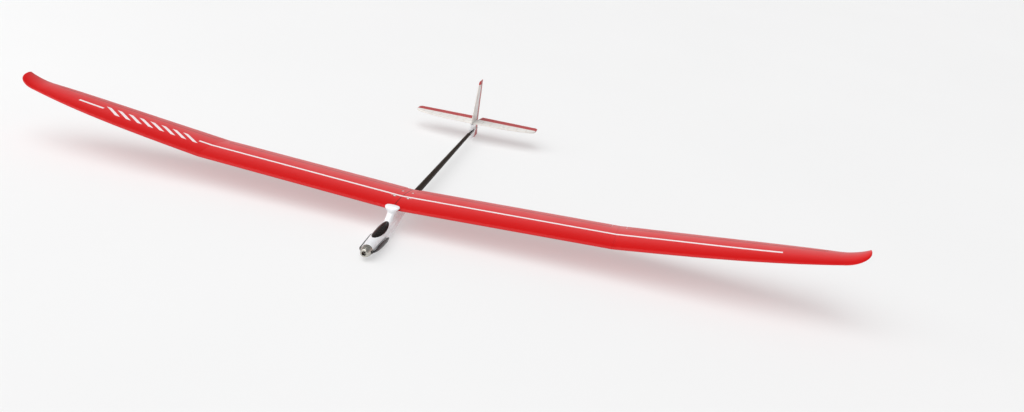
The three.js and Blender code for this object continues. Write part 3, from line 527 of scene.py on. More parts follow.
def skin_point(x, u, side):
    """A point of the skin by the fittings' simpler rule: its height counts straight up from the chord."""
    leading, chord, height = wing_station(x)
    return Vector((x, leading + u * chord * cos(INCIDENCE),
                   height - u * chord * sin(INCIDENCE) + surface_height(u, side) * chord))


NOSE_STEPS = 26
REAR_STEPS = 7


def root_share(x):
    """Between the flaps the trailing edge is set forward by 8 mm."""
    return 1.0 if abs(x) > FLAP_SPAN[0] else 1 - 8 / 232


def panel_ring(x, cut):
    """One section of a wing panel as (point, chord share, top) rows. When cut, the rear points close the
    panel in front of the hinge line."""
    hinge = hinge_share(x) if cut else HINGE_AT
    nose = [hinge * cos(pi / 2 * k / NOSE_STEPS) ** 1.35 for k in range(NOSE_STEPS)] + [0.0]

    def rear_rows(side):
        shares = [k / REAR_STEPS for k in range(REAR_STEPS)]
        if cut:
            return [(wing_point(x, hinge, side * (1 - (1 - t) * 0.999)), hinge, 0.0) for t in shares]
        us = [lerp(root_share(x), hinge, t) for t in shares]
        return [(wing_point(x, u, side), u, max(0.0, side)) for u in us]

    upper = [(wing_point(x, u, 1), u, 1.0) for u in nose]
    lower = [(wing_point(x, u, -1), u, 0.0) for u in reversed(nose[:-1])]
    return rear_rows(1.0) + upper + lower + rear_rows(-1.0)[::-1]


def surface_ring(x, front_top, front_bottom):
    """One section of a flap or aileron: bevelled front face, then both skins to the trailing edge."""
    n = 7
    chord = wing_station(x)[1]
    top_u = hinge_share(x) + front_top / chord
    bottom_u = top_u + front_bottom / chord
    rows = [(wing_point(x, lerp(1.0, top_u, k / n), 1), lerp(1.0, top_u, k / n), 1.0) for k in range(n + 1)]
    top, bottom = rows[-1][0], wing_point(x, bottom_u, -1)
    rows += [(top.lerp(bottom, k / 4), top_u, 0.0) for k in (1, 2, 3)]
    rows += [(wing_point(x, lerp(bottom_u, 1.0, k / n), -1), lerp(bottom_u, 1.0, k / n), 0.0)
             for k in range(n + 1)]
    return rows


def behind_hinge(x, u):
    """Metres from the hinge line, and far away where there is no hinge."""
    hinged = any(low - 1 < abs(x) < high + 1 for low, high in (FLAP_SPAN, AILERON_SPAN))
    return (u - hinge_share(x)) * wing_station(x)[1] / 1000 if hinged else 1.0


def stripe_share(x):
    """The stripe runs a little closer to the leading edge towards the tips."""
    return STRIPE_AT - 0.055 * max(0.0, min(1.0, (abs(x) - 900) / 340))


def wing_mesh(name, stations):
    """A closed solid from rows of sections; keeps the chord share, the span and the distance from the
    stripe as attributes for the film."""
    obj = solid(name, [[row[0] for row in rows] for _, rows in stations], weld=0)
    values = {"chord": [], "span": [], "across": [], "top": [], "behind": []}
    for x, rows in stations:
        chord = wing_station(x)[1]
        for _, u, top in rows:
            across = (u - stripe_share(x)) * chord / 1000
            for numbers, value in zip(values.values(), (u, x / 1000, across, top, behind_hinge(x, u))):
                numbers.append(value)
    for key, numbers in values.items():
        obj.data.attributes.new(key, "FLOAT", "POINT").data.foreach_set("value", numbers)
    return obj


def spread(a, b, step):
    n = max(1, round(abs(b - a) / step))
    return [lerp(a, b, k / n) for k in range(n + 1)]


def tip_spread():
    """Stations that crowd towards the rounded tip."""
    return [TIP_X + (HALF_SPAN - 0.5 - TIP_X) * sin(pi / 2 * k / 18) for k in range(1, 19)]


def panel_stations(inner, outer, hinge_span, side, extra=()):
    rows = [(x, False) for x in spread(inner, hinge_span[0], 8)]
    rows += [(x, True) for x in spread(hinge_span[0], hinge_span[1], 22)]
    rows += [(x, False) for x in spread(hinge_span[1], outer, 9)]
    rows += [(x, False) for x in extra]
    return [(side * x, panel_ring(side * x, cut)) for x, cut in rows]


def surface_stations(span, slope, side):
    """Sections of a flap or aileron; slope is how far its front face leans back for its depth."""
    xs = spread(span[0] + 1.2, span[1] - 1.2, 22)
    return [(side * x, surface_ring(side * x, HINGE_SLOT, section_depth(x) * slope)) for x in xs]


def section_depth(x):
    return (wing_point(x, hinge_share(x), 1) - wing_point(x, hinge_share(x), -1)).length


WING_BOLTS = {"wing_bolt_front_left": (24, 88), "wing_bolt_front_right": (-24, 88),
              "wing_bolt_rear_left": (18, 158), "wing_bolt_rear_right": (-18, 158)}


def bolt_head_base(x, y):
    leading, chord, _ = wing_station(x)
    return skin_point(x, (y - leading) / chord, 1).z - 2.7


def cut_wing_fittings(obj, side):
    """Servo pocket, slot for the servo arm, joiner holes and bolt holes, as the panel needs them."""
    inner = "inner" in obj.name
    servo_x = SERVO_X["flap" if inner else "aileron"]
    under = wing_point(servo_x, 0.5, -1)
    x = side * servo_x
    box_cut(obj, (x - 6.4, under.y - 14.4, under.z - 20), (x + 6.4, under.y + 14.4, under.z + 9.9))
    slot = sorted((side * (servo_x + 6.4), side * (servo_x + 10.4)))
    box_cut(obj, (slot[0], under.y - 9, under.z - 26), (slot[1], under.y + 21, under.z + 9))
    if inner:
        ends = [skin_point(0, 0.3, 0) + Vector((-3, 0, 0)), skin_point(131, 0.3, 0)]
        ends = [Vector((side * p.x, p.y, p.z)) for p in ends]
        combine(obj, rod("cutter", ends, 5.4, 24), "DIFFERENCE")
        for bx, by in WING_BOLTS.values():
            if bx * side > 0:
                base = bolt_head_base(bx, by)
                profile = [(0, -60), (2.8, -60), (2.8, base - GAP), (5.4, base - GAP), (5.4, 40), (0, 40)]
                combine(obj, lathe("cutter", profile, (bx, by, 0), "Z", 32), "DIFFERENCE")


def build_wing():
    for side, word in ((1, "left"), (-1, "right")):
        inner = wing_mesh(f"inner_panel_{word}", panel_stations(0.2, BREAK_X - 0.2, FLAP_SPAN, side))
        outer = wing_mesh(f"outer_panel_{word}",
                          panel_stations(BREAK_X + 0.2, TIP_X, AILERON_SPAN, side, tip_spread()))
        for obj, node in ((inner, f"inner_wing_{word}"), (outer, f"outer_wing_{word}")):
            cut_wing_fittings(obj, side)
            add_piece(obj, "airframe", RED, [node])
        for kind, span, slope in (("flap", FLAP_SPAN, 48), ("aileron", AILERON_SPAN, 24)):
            surface = wing_mesh(f"{kind}_skin_{word}", surface_stations(span, tan(radians(slope)), side))
            add_piece(surface, f"{kind}_{word}", RED, [f"{kind}_{word}"])


# ---- fuselage ----

POD_END = 235
POD_POWER = 0.92
POD_STATIONS = [
    (NOSE_Y, -37, -75, 19), (-185, -34.2, -78.4, 21), (-145, -30.8, -81.6, 23), (-100, -28.5, -82.2, 24),
    (-50, -27, -81, 23.5), (0, -26.5, -76, 21.5), (50, -25.5, -68, 18.5), (105, -24, -60, 15.8),
    (165, -21.5, -51.5, 14), (POD_END, -20.8, -46.2, 12.8),
]
PYLON_LEVELS = [
    (-56, -18, 120, 10), (-40, -34, 150, 12.5), (-30, -40, 166, 14.5), (-22, -34, 172, 13),
    (-15, -27, 178, 12.8), (-9, -20, 184, 13.5), (-5, -15, 190, 15),
]
LIP_LEVELS = [
    (-7, -17, 14, 13), (-2, -17, 15, 16), (3, -16, 15, 21), (7, -13.5, 15, 25), (10, -9.5, 14, 25),
    (13, -2, 12, 21), (14, 4, 10, 15),
]
SADDLE_LEVELS = [(-27, 52, 172, 13), (-21.5, 42, 182, 28.5), (-12, 40, 184, 30), (-5, 40, 184, 30)]
HATCH = {"y": -103, "half_length": 64, "half_width": 18}


def signed_power(value, power):
    return copysign(abs(value) ** power, value)


def pod_ring(y, inset, n=72):
    top, bottom, half = smooth_table(POD_STATIONS, y)
    centre, depth = (top + bottom) / 2, (top - bottom) / 2
    return [Vector(((half - inset) * signed_power(s, POD_POWER), y,
                    centre + (depth - inset) * signed_power(c, POD_POWER))) for c, s in circle(n)]


def pod_top(x, y):
    """Height of the upper pod skin."""
    top, bottom, half = smooth_table(POD_STATIONS, y)
    share = min(1.0, abs(x) / half) ** (1 / POD_POWER)
    return (top + bottom) / 2 + (top - bottom) / 2 * (1 - share**2) ** (POD_POWER / 2)


def level_ring(z, front, back, half, inset=0.0, n=72):
    """A level section of the pylon: round in front and drawn in towards the back."""
    middle = front + half
    ring = []
    for forward, across in circle(n):
        taper = across if forward > 0 else across * (1 - 0.45 * forward**2)
        reach = middle - front - inset if forward > 0 else back - middle - inset
        ring.append(Vector(((half - inset) * taper, middle - reach * forward, z)))
    return ring


def lip_ring(z, front, back, half, n=60):
    """A level section with squarer corners, for the lip and the saddle."""
    return [Vector((half * signed_power(s, 0.7),
                    (front + back) / 2 - (back - front) / 2 * signed_power(c, 0.7), z)) for c, s in circle(n)]


def pod_solid(name, inset, overrun):
    ys = spread(NOSE_Y - overrun, POD_END + overrun, 7)
    return solid(name, [[Vector((p.x, y, p.z)) for p in pod_ring(min(POD_END, max(NOSE_Y, y)), inset)]
                        for y in ys])


def stacked(name, levels, ring, step=1.5):
    zs = spread(levels[0][0], levels[-1][0], step)
    return solid(name, [ring(z, *smooth_table(levels, z)) for z in zs])


def hatch_ring(share, gap, height):
    """An ellipse of the hatch's outline at a share of its size; height(x, y) gives each point's height."""
    a, b = HATCH["half_width"] - gap, HATCH["half_length"] - gap
    spots = [(a * share * s, HATCH["y"] + b * share * c) for c, s in circle(96)]
    return [Vector((x, y, height(x, y))) for x, y in spots]


def wing_slab(name, grow):
    """The space of the wing at the centre, a little larger than the wing."""
    rings = []
    for x in (-60, -30, -0.01, 30, 60):
        ring = []
        shares = [(1 - k / 40) ** 1.5 for k in range(41)]
        for u in shares:
            ring.append(wing_point(x, u, 1) + Vector((0, grow * (2 * u - 1), grow)))
        for u in reversed(shares[:-1]):
            ring.append(wing_point(x, u, -1) + Vector((0, grow * (2 * u - 1), -grow)))
        rings.append(ring)
    return solid(name, rings)


BOOM = {"y0": 150, "y1": 1046, "z0": -35, "z1": -18, "r0": 12, "r1": 6.5, "wall": 1}
BOOM_SLOPE = (BOOM["z1"] - BOOM["z0"]) / (BOOM["y1"] - BOOM["y0"])
ROD_ENTRY_Y, ROD_EXIT_Y = 158, 968      # where both pushrods enter and leave the boom


def boom_z(y):
    return BOOM["z0"] + (y - BOOM["y0"]) * BOOM_SLOPE


def boom_solid(name, grow=0.0, span=(BOOM["y0"], BOOM["y1"]), step=60):
    """The boom's taper over a span, grown by a margin all round."""
    rings = []
    for y in spread(*span, step):
        r = lerp(BOOM["r0"], BOOM["r1"], (y - BOOM["y0"]) / (BOOM["y1"] - BOOM["y0"])) + grow
        rings.append([Vector((r * c, y, boom_z(y) + r * s)) for c, s in circle(48)])
    return solid(name, rings)


def build_fuselage():
    pod = pod_solid("pod", 0, 0)
    for name, levels, ring in (("pylon", PYLON_LEVELS, level_ring), ("saddle", SADDLE_LEVELS, lip_ring),
                               ("lip", LIP_LEVELS, lip_ring)):
        combine(pod, stacked(name, levels, ring), "UNION")
    apply_modifier(pod, "REMESH", mode="VOXEL", voxel_size=1.4)
    apply_modifier(pod, "SMOOTH", factor=0.5, iterations=9)
    hatch = solid("hatch", [hatch_ring(1, 0, lambda x, y, z=z: z) for z in (-45, 15)])
    low = box_solid("under", (-40, -150, -30), (40, 420, 0))
    low.data.transform(Matrix.Translation(BELLY) @ Matrix.Rotation(PITCH, 4, "X"))
    pylon_cavity = stacked("cavity", PYLON_LEVELS[:5], lambda *row: level_ring(*row, 2.5))
    for tool in (pod_solid("cavity", 1.5, 6), pylon_cavity, hatch, wing_slab("slab", 0.5),
                 boom_solid("boom_hole", 0.3), low):
        combine(pod, tool, "DIFFERENCE")
    plate = [[Vector((x, y, z)) for x, y in ((26.4, 73.6), (21.9, 168.4), (-21.9, 168.4), (-26.4, 73.6))]
             for z in (-20.4, -15.6)]
    combine(pod, solid("cutter", plate), "DIFFERENCE")
    for bx, by in WING_BOLTS.values():
        drill(pod, 2.8, (-60, 40), (bx, by, 0), "Z", 24)
    pod.name = "pod_shell"
    add_piece(pod, "airframe", WHITE, ["fuselage_pod"], angle=40)
    build_canopy()
    boom = boom_solid("boom_tube")
    combine(boom, boom_solid("cutter", -BOOM["wall"], (BOOM["y0"] - 2, BOOM["y1"] + 2), 1000), "DIFFERENCE")
    exit_z = boom_z(ROD_EXIT_Y)
    box_cut(boom, (-20, ROD_EXIT_Y - 14, exit_z - 2.4), (20, ROD_EXIT_Y + 44, exit_z + 9))
    add_piece(boom, "airframe", CARBON, ["tail_boom"])


def build_canopy():
    """The hatch follows the pod skin and stands a little proud, with a softly rolled edge."""
    shares = [sin(pi / 2 * k / 22) for k in range(23)]
    lifts = [0.9 * (1 - r**4) - 0.5 * max(0.0, (r - 0.93) / 0.07) ** 2 for r in shares]
    rows = list(zip(shares, lifts)) + [(r, -1.5) for r in reversed(shares)]
    rings = [hatch_ring(r, 0.45, lambda x, y, lift=lift: pod_top(x, y) + lift) for r, lift in rows]
    cover = closed_object("canopy_cover", *skin(rings, closed_ends=False))
    add_piece(cover, "hatch", BLACK, ["canopy_hatch"], angle=50)


# ---- propeller ----

SPINNER_R = 19.2
SPINNER_BACK = NOSE_Y - 1
PIN_Y = SPINNER_BACK - 5
BLADE_PIN_X = 17
BLADE_LENGTH = 122
BLADE_STATIONS = [
    (0, 8, 7.2, 3.4), (6, 8, 6.4, 6.8), (18, 10, 4.6, 9.2), (36, 14, 3.2, 10.2), (62, 16, 2.6, 11.6),
    (88, 14.5, 2.2, 12.6), (108, 11, 1.8, 12.8), (BLADE_LENGTH, 5, 1.2, 12.8),
]


def build_spinner():
    back, front = SPINNER_BACK, SPINNER_BACK - 29
    outside = ((0, 0), (0.15, 4), (0.6, 8), (1.5, 12.5), (2.6, 17), (3.9, 21), (5.4, 25), (6.3, 27.4),
               (7.4, 28.7), (8.2, 29))
    inside = ((8.4, 26.6), (5, 17), (2.4, 8), (1.6, 0))
    profile = [(SPINNER_R - inset, back - reach) for inset, reach in outside]
    profile += [(8.2, front), (7.5, front + 0.5), (7.3, front + 1.8)]
    profile += [(SPINNER_R - inset, back - reach) for inset, reach in inside]
    shell = lathe("spinner_shell", profile, (0, 0, MOTOR_Z), sides=96)
    box_cut(shell, (-30, back - 14, MOTOR_Z - 6.5), (30, back + 1, MOTOR_Z + 6.5))
    add_piece(shell, "rotor", CHAMPAGNE, ["spinner"])


def blade_object(name):
    rings = []
    for s in spread(0, BLADE_LENGTH, 2.4):
        chord, thick, out = smooth_table(BLADE_STATIONS, s)
        t = s / BLADE_LENGTH
        chord *= sqrt(max(0.02, 1 - max(0.0, (s - 106) / 16.4) ** 2)) if s > 106 else 1
        chord *= 1.25 if s > 106 else lerp(1, 1.25, max(0.0, (s - 88) / 18))
        twist = radians(max(0.0, min(1.0, (s - 6) / 12)) * (24 - 14 * t))
        ring = []
        for forward, up in circle(28):
            shape = up if s < 12 else up * (1 - 0.35 * forward)
            a, b = chord / 2 * forward, thick / 2 * shape
            if s > 12:
                b += 0.06 * chord * (1 - (2 * a / chord) ** 2) * min(1.0, (s - 12) / 20) * 0.6
            ring.append(Vector((BLADE_PIN_X + out + b * cos(twist) - a * sin(twist), PIN_Y + s,
                                MOTOR_Z + a * cos(twist) + b * sin(twist))))
        rings.append(ring)
    blade = solid(name, rings)
    lug = lathe("lug", [(0, -4), (4.4, -4), (4.8, -3.6), (4.8, 3.6), (4.4, 4), (0, 4)],
                (BLADE_PIN_X, PIN_Y, MOTOR_Z), "Z", 40)
    combine(blade, lug, "UNION")
    drill(blade, 1.85, (-9, 9), (BLADE_PIN_X, PIN_Y, MOTOR_Z), "Z", 24)
    return blade


def build_propeller():
    build_spinner()
    left = blade_object("blade_left_skin")
    right = mirror_copy(left, "blade_right_skin")
    add_piece(left, "blade_left", BLADE, ["propeller_blade_left"])
    add_piece(right, "blade_right", BLADE, ["propeller_blade_right"])


# ---- tail ----

STAB_Z = 18
STAB_HALF = 266
STAB_LE = 992
ELEVATOR_HINGE = 1054
STAB_TE = 1100
FIN_HINGE = 1052
TAIL_SLOT_X = 9
FIN_TOP = 176
FIN_FOOT = -8
RUDDER_TOP, RUDDER_FOOT = 190, -60


def rib_mask(along, spacing, width=2.2):
    """1 on a rib, falling to 0 beside it."""
    beside = spacing / 2 - abs((along / spacing) % 1.0 - 0.5) * spacing
    return max(0.0, min(1.0, (width - beside) / 0.8 + 1)) if beside < width + 1 else 0.0


def film_mesh(name, sections):
    """A closed solid through (ring, rib flags) sections; keeps the flags as an attribute for the film."""
    obj = solid(name, [ring for ring, _ in sections], weld=0)
    flags = [flag for _, row in sections for flag in row]
    obj.data.attributes.new("rib", "FLOAT", "POINT").data.foreach_set("value", flags)
    return obj


def slab_ring(front, back, half_at, along, film, n=16, upright=False, side=1):
    """A closed section from front to back, and its rib flags; half_at(share) is half its thickness."""
    upper, lower, flags = [], [], []
    for k in range(n + 1):
        u = (1 - cos(pi * k / n)) / 2
        y = lerp(front, back, u)
        rib = rib_mask(along, film["spacing"])
        edge = 1.0 if (y < front + film["edge"] or y > back - film["edge"]) else 0.0
        hollow = film["depth"] * (1 - max(rib, edge)) * sin(pi * u)
        h = max(0.25, half_at(u) - hollow)
        for points, high in ((upper, h), (lower, -h)):
            points.append(Vector((high, y, along)) if upright else Vector((side * along, y, STAB_Z + high)))
        flags.append(max(rib, edge * 0.7))
    return upper + lower[::-1], flags + flags[::-1]


def nose_profile(full, rear):
    """Half thickness from a rounded front to a squared rear edge."""
    def half(u):
        if u < 0.22:
            return min(full, full * sqrt(min(1.0, u / 0.22)) + 0.25)
        return lerp(full, rear, ((u - 0.22) / 0.78) ** 1.5)
    return half


def tail_profile(front, back):
    def half(u):
        return lerp(front, back, u)
    return half


def stab_leading(x):
    half = max(0.0, 1 - (abs(x) / STAB_HALF) ** 2.6) ** 0.5
    return ELEVATOR_HINGE - 8 - (ELEVATOR_HINGE - 8 - STAB_LE) * half


def build_stabilizer():
    film = {"spacing": 38.0, "depth": 0.1, "edge": 5.0}
    sections = []
    for k in range(-84, 85):
        x = (STAB_HALF - 0.3) * sin(pi / 2 * k / 84)
        back = ELEVATOR_HINGE - HINGE_SLOT if abs(x) > TAIL_SLOT_X else FIN_HINGE - 6.3
        rim = min(1.0, (STAB_HALF - abs(x)) / 6 + 0.25) ** 0.5
        sections.append(slab_ring(stab_leading(x), back, nose_profile(3.9 * rim, 3.3 * rim), x, film))
    add_piece(film_mesh("stabilizer_skin", sections), "airframe", WHITE_FILM, ["stabilizer"])


ELEVATOR_CORNER = TAIL_SLOT_X + 10.5    # the inner corner is cut back as far as this
ELEVATOR_ROUND = STAB_HALF - 10         # the rounding of the tip starts here


def elevator_back(x):
    if x < ELEVATOR_CORNER:
        return lerp(ELEVATOR_HINGE + 1.8, STAB_TE + 2, max(0.0, (x - TAIL_SLOT_X) / 10.5))
    if x > ELEVATOR_ROUND:
        return STAB_TE - 2 - 12 * ((x - ELEVATOR_ROUND) / 11) ** 2
    return lerp(STAB_TE + 2, STAB_TE - 2, (x - ELEVATOR_CORNER) / (ELEVATOR_ROUND - ELEVATOR_CORNER))


def build_elevator():
    film = {"spacing": 38.0, "depth": 0.0, "edge": 3.0}
    xs = spread(TAIL_SLOT_X + 0.2, ELEVATOR_CORNER, 1.1)[:-1]
    xs += spread(ELEVATOR_CORNER, ELEVATOR_ROUND, 12)[:-1]
    xs += [ELEVATOR_ROUND + 10.8 * sin(pi / 2 * k / 8) for k in range(9)]
    for side, word in ((1, "left"), (-1, "right")):
        sections = []
        for x in xs:
            profile = tail_profile(2.5 * min(1.0, (STAB_HALF + 1.2 - x) / 3) ** 0.4, 0.7)
            sections.append(slab_ring(ELEVATOR_HINGE + 1.2, elevator_back(x), profile, x, film, 8, side=side))
        half = film_mesh(f"elevator_skin_{word}", sections)
        box_cut(half, (-30, ELEVATOR_HINGE - 6, STAB_Z - 1.4), (30, ELEVATOR_HINGE + 7.4, STAB_Z + 1.4))
        add_piece(half, "elevator", RED_PLAIN, [f"elevator_{word}"])
    inner, outer = TAIL_SLOT_X - 1.8, TAIL_SLOT_X + 17
    front, back = ELEVATOR_HINGE - 4, ELEVATOR_HINGE + 6
    corners = [(-outer, back), (-inner, back), (-inner, front), (inner, front), (inner, back), (outer, back)]
    path = rounded_path([(x, y, STAB_Z) for x, y in corners], 2.5)
    add_piece(rod("elevator_wire", path, 1.0, 16), "elevator", STEEL, ["elevator_joiner"])
    outline = [(0, 17), (0, 8), (1, 4.4), (4, 4.4), (5.5, 8), (8.5, 17)]
    horn = horn_plate("elevator_horn", [(ELEVATOR_HINGE + 1.5 + y, z) for y, z in outline], 1.2, -16)
    add_piece(horn, "elevator", NYLON)


def horn_plate(name, outline, thick, x):
    """A thin moulded plate in the Y-Z plane with rounded edges."""
    rings = [[Vector((x + s * thick / 2, y, z)) for y, z in outline] for s in (-1, 1)]
    obj = solid(name, rings)
    apply_modifier(obj, "BEVEL", width=0.25, segments=2, limit_method="ANGLE")
    return obj


def bezier(a, b, c, t):
    return (1 - t) ** 2 * a + 2 * t * (1 - t) * b + t**2 * c


def fin_front(z):
    """Leading edge of the fin: a swept curve that leans back towards the top."""
    low, high = 0.0, 1.0
    for _ in range(30):
        t = (low + high) / 2
        low, high = (t, high) if bezier(FIN_FOOT, 60, FIN_TOP, t) < z else (low, t)
    return bezier(966, 990, 1034, t)


def rudder_hinge_y(z):
    return FIN_HINGE + (z - FIN_FOOT) * 6 / (FIN_TOP - FIN_FOOT)


def saddle_front(z):
    """Leading edge of the tail mount: the foot of the fin above the boom, a small fin below it."""
    return smooth_table([(-52, 1006), (-40, 994), (-12, 985), (-6, fin_front(-6)), (14, fin_front(14))], z)[0]


def build_fin():
    film = {"spacing": 34.0, "depth": 0.1, "edge": 4.0}
    sections = []
    for z in spread(22.5, FIN_TOP, 2.2):
        rim = min(1.0, (FIN_TOP - z) / 5 + 0.3) ** 0.5
        sections.append(slab_ring(fin_front(z), rudder_hinge_y(z) - 0.4, nose_profile(3.9 * rim, 3.4 * rim),
                                  z, film, 14, upright=True))
    add_piece(film_mesh("fin_skin", sections), "airframe", WHITE_FILM, ["fin"])
    bare = {"spacing": 900.0, "depth": 0.0, "edge": 0.0}
    mount = film_mesh("tail_saddle", [
        slab_ring(saddle_front(z), rudder_hinge_y(z) - 0.4, nose_profile(3.9, 3.4), z, bare, 14, upright=True)
        for z in spread(-51.8, 13.5, 1.8)])
    combine(mount, boom_solid("collar", 2.2, (1014, 1043)), "UNION")
    combine(mount, boom_solid("cutter", 0.3), "DIFFERENCE")
    add_piece(mount, "airframe", WHITE, ["tail_mount"])


RUDDER_BACK = [(RUDDER_FOOT, 58), (0, 40), (60, 35), (150, 32), (RUDDER_TOP, 30)]
RUDDER_CAP = FIN_TOP + 1.3              # above the fin the rudder reaches forward over it


def build_rudder():
    film = {"spacing": 34.0, "depth": 0.0, "edge": 3.0}
    sections = []
    for z in spread(RUDDER_FOOT + 0.2, FIN_TOP + 1, 3.0) + spread(FIN_TOP + 1.6, RUDDER_TOP - 0.2, 1.6):
        back = rudder_hinge_y(z) + smooth_table(RUDDER_BACK, z)[0]
        front = rudder_hinge_y(z) + 1.8 + max(0.0, RUDDER_FOOT + 10 - z) / 5
        if z > RUDDER_CAP:
            front = lerp(1035.5, 1047.5, ((z - RUDDER_CAP) / (RUDDER_TOP - 0.2 - RUDDER_CAP)) ** 0.8)
        rim = min(1.0, (RUDDER_TOP - 0.1 - z) / 4 + 0.25, (z - RUDDER_FOOT - 0.1) / 3 + 0.4) ** 0.5
        sections.append(slab_ring(front, back, tail_profile(2.95 * rim, 0.7), z, film, 8, upright=True))
    add_piece(film_mesh("rudder_skin", sections), "rudder", RED_PLAIN, ["rudder"])


# ---- horns, servos, links and bolts ----

ARM_LENGTH = 17


def hinge_point(x):
    """Where the hinge line is at x: in the upper skin, straight between the ends of the surface."""
    low, high = surface_span(x)
    return skin_point(low, HINGE_AT, 1).lerp(skin_point(high, HINGE_AT, 1), (x - low) / (high - low))


def wing_horn(name, x):
    hinge = hinge_point(x)
    middle = x + 7.4
    corners = [(9, -7.6), (20, -5.5), (12, -11), (4.5, -18.4), (3.4, -19.4), (1.5, -19.6), (-1, -19.6),
               (-2, -18.6), (-2, -16), (2, -11)]
    return horn_plate(name, [(hinge.y + y, hinge.z + z) for y, z in corners], 1.7, middle)


def groove_round(obj, low, high, level, half, depth, bevel=0.0):
    """Cuts a shallow groove round the sides of a box-like object at one height."""
    groove = box_solid("cutter", (low[0] - 1, low[1] - 1, level - half),
                       (high[0] + 1, high[1] + 1, level + half))
    core = box_solid("cutter", (low[0] + depth, low[1] + depth, level - 2),
                     (high[0] - depth, high[1] - depth, level + 2), bevel)
    combine(groove, core, "DIFFERENCE")
    combine(obj, groove, "DIFFERENCE")


def servo_case(name, low, high):
    """A moulded case with a lid seam and a screw hole near each corner underneath."""
    obj = box_solid(name, low, high, 0.7)
    groove_round(obj, low, high, lerp(low[2], high[2], 0.68), 0.2, 0.3)
    for dx in (0.12, 0.88):
        for dy in (0.07, 0.93):
            spot = (lerp(low[0], high[0], dx), lerp(low[1], high[1], dy), 0)
            drill(obj, 0.7, (low[2] - 1, low[2] + 0.7), spot, "Z")
    return obj


def arm_plate(name, corners, thick, middle, axis, holes):
    """A tapering servo arm with a row of small holes; corners are (along, across) pairs."""
    def at(a, b, c):
        return Vector((c, a, b)) if axis == "X" else Vector((a, b, c))
    rings = [[at(a, b, middle + s * thick / 2) for a, b in corners] for s in (-1, 1)]
    obj = solid(name, rings)
    apply_modifier(obj, "BEVEL", width=0.2, segments=2, limit_method="ANGLE")
    for a, b in holes:
        drill(obj, 0.5, (-thick, thick), at(a, b, middle), axis)
    return obj


def arm_outline(root, tip, root_half, tip_half, steps=6):
    """A strip with round ends from root to tip along the first axis."""
    points = []
    for k in range(steps + 1):
        a = pi / 2 + pi * k / steps
        points.append((root + root_half * cos(a), root_half * sin(a)))
    for k in range(steps + 1):
        a = -pi / 2 + pi * k / steps
        points.append((tip + tip_half * cos(a), tip_half * sin(a)))
    return points


def build_wing_controls():
    for kind, x in SERVO_X.items():
        skin_at = skin_point(x, 0.5, -1)
        case = servo_case(f"{kind}_servo_case_left", (x - 6, skin_at.y - 14, skin_at.z + 0.5),
                          (x + 6, skin_at.y + 14, skin_at.z + 9.5))
        pivot = Vector((x, skin_at.y + 6, skin_at.z + 4))
        outline = [(pivot.y + b, pivot.z - a) for a, b in arm_outline(0, ARM_LENGTH, 1.98, 1.7)]
        holes = [(pivot.y, pivot.z - ARM_LENGTH + k * 3.5) for k in range(3)]
        arm = arm_plate(f"{kind}_arm_left_shape", outline, 1.9, x + 7.4, "X", holes)
        beside = x + 6.4 + 2 + 0.4 + 1
        start = Vector((beside, pivot.y, pivot.z - ARM_LENGTH))
        hinge = hinge_point(x)
        end = Vector((beside, hinge.y + 0.3, hinge.z - ARM_LENGTH))
        link = rod(f"{kind}_link_left_shape", [start, end], 0.75, 16)
        along = (end - start).normalized()
        for foot, reach in ((start, 7), (end, -7)):
            combine(link, rod("clevis", [foot, foot + along * reach], 1.0, 16), "UNION")
        horn = wing_horn(f"{kind}_horn_left", x)
        left_side = ((case, "airframe", SERVO, [f"{kind}_servo_{{}}"], None),
                     (arm, f"{kind}_arm_{{}}", NYLON, [f"{kind}_servo_arm_{{}}"], None),
                     (link, f"{kind}_link_{{}}", STEEL, [f"{kind}_link_{{}}"], None),
                     (horn, f"{kind}_{{}}", NYLON, [], "white_nylon"))
        for obj, body, material, nodes, slot in left_side:
            twin = mirror_copy(obj, obj.name.replace("left", "right"))
            for piece, word in ((obj, "left"), (twin, "right")):
                add_piece(piece, body.format(word), material, [n.format(word) for n in nodes])


def build_bolts():
    for node, (x, y) in WING_BOLTS.items():
        base = bolt_head_base(x, y)
        profile = [(0, -22), (2.0, -22), (2.4, -21.4), (2.4, base), (4.7, base), (5.0, base + 0.3),
                   (5.0, base + 1.6), (4.4, base + 2.2), (0, base + 2.2)]
        bolt = lathe(f"{node}_turned", profile, (x, y, 0), "Z", 40)
        box_cut(bolt, (x - 6, y - 0.5, base + 1.2), (x + 6, y + 0.5, base + 3))
        add_piece(bolt, "airframe", NYLON, [node])


TAIL_SERVO = {"out": 6.4, "y": 14, "top": -43}
ROD_ENDS = {"rudder": [(9.6, 1008, -14.6), (9.6, 1058, -14.6)],
            "elevator": [(-10, 1008, -8), (-18.5, 1058, 6)]}


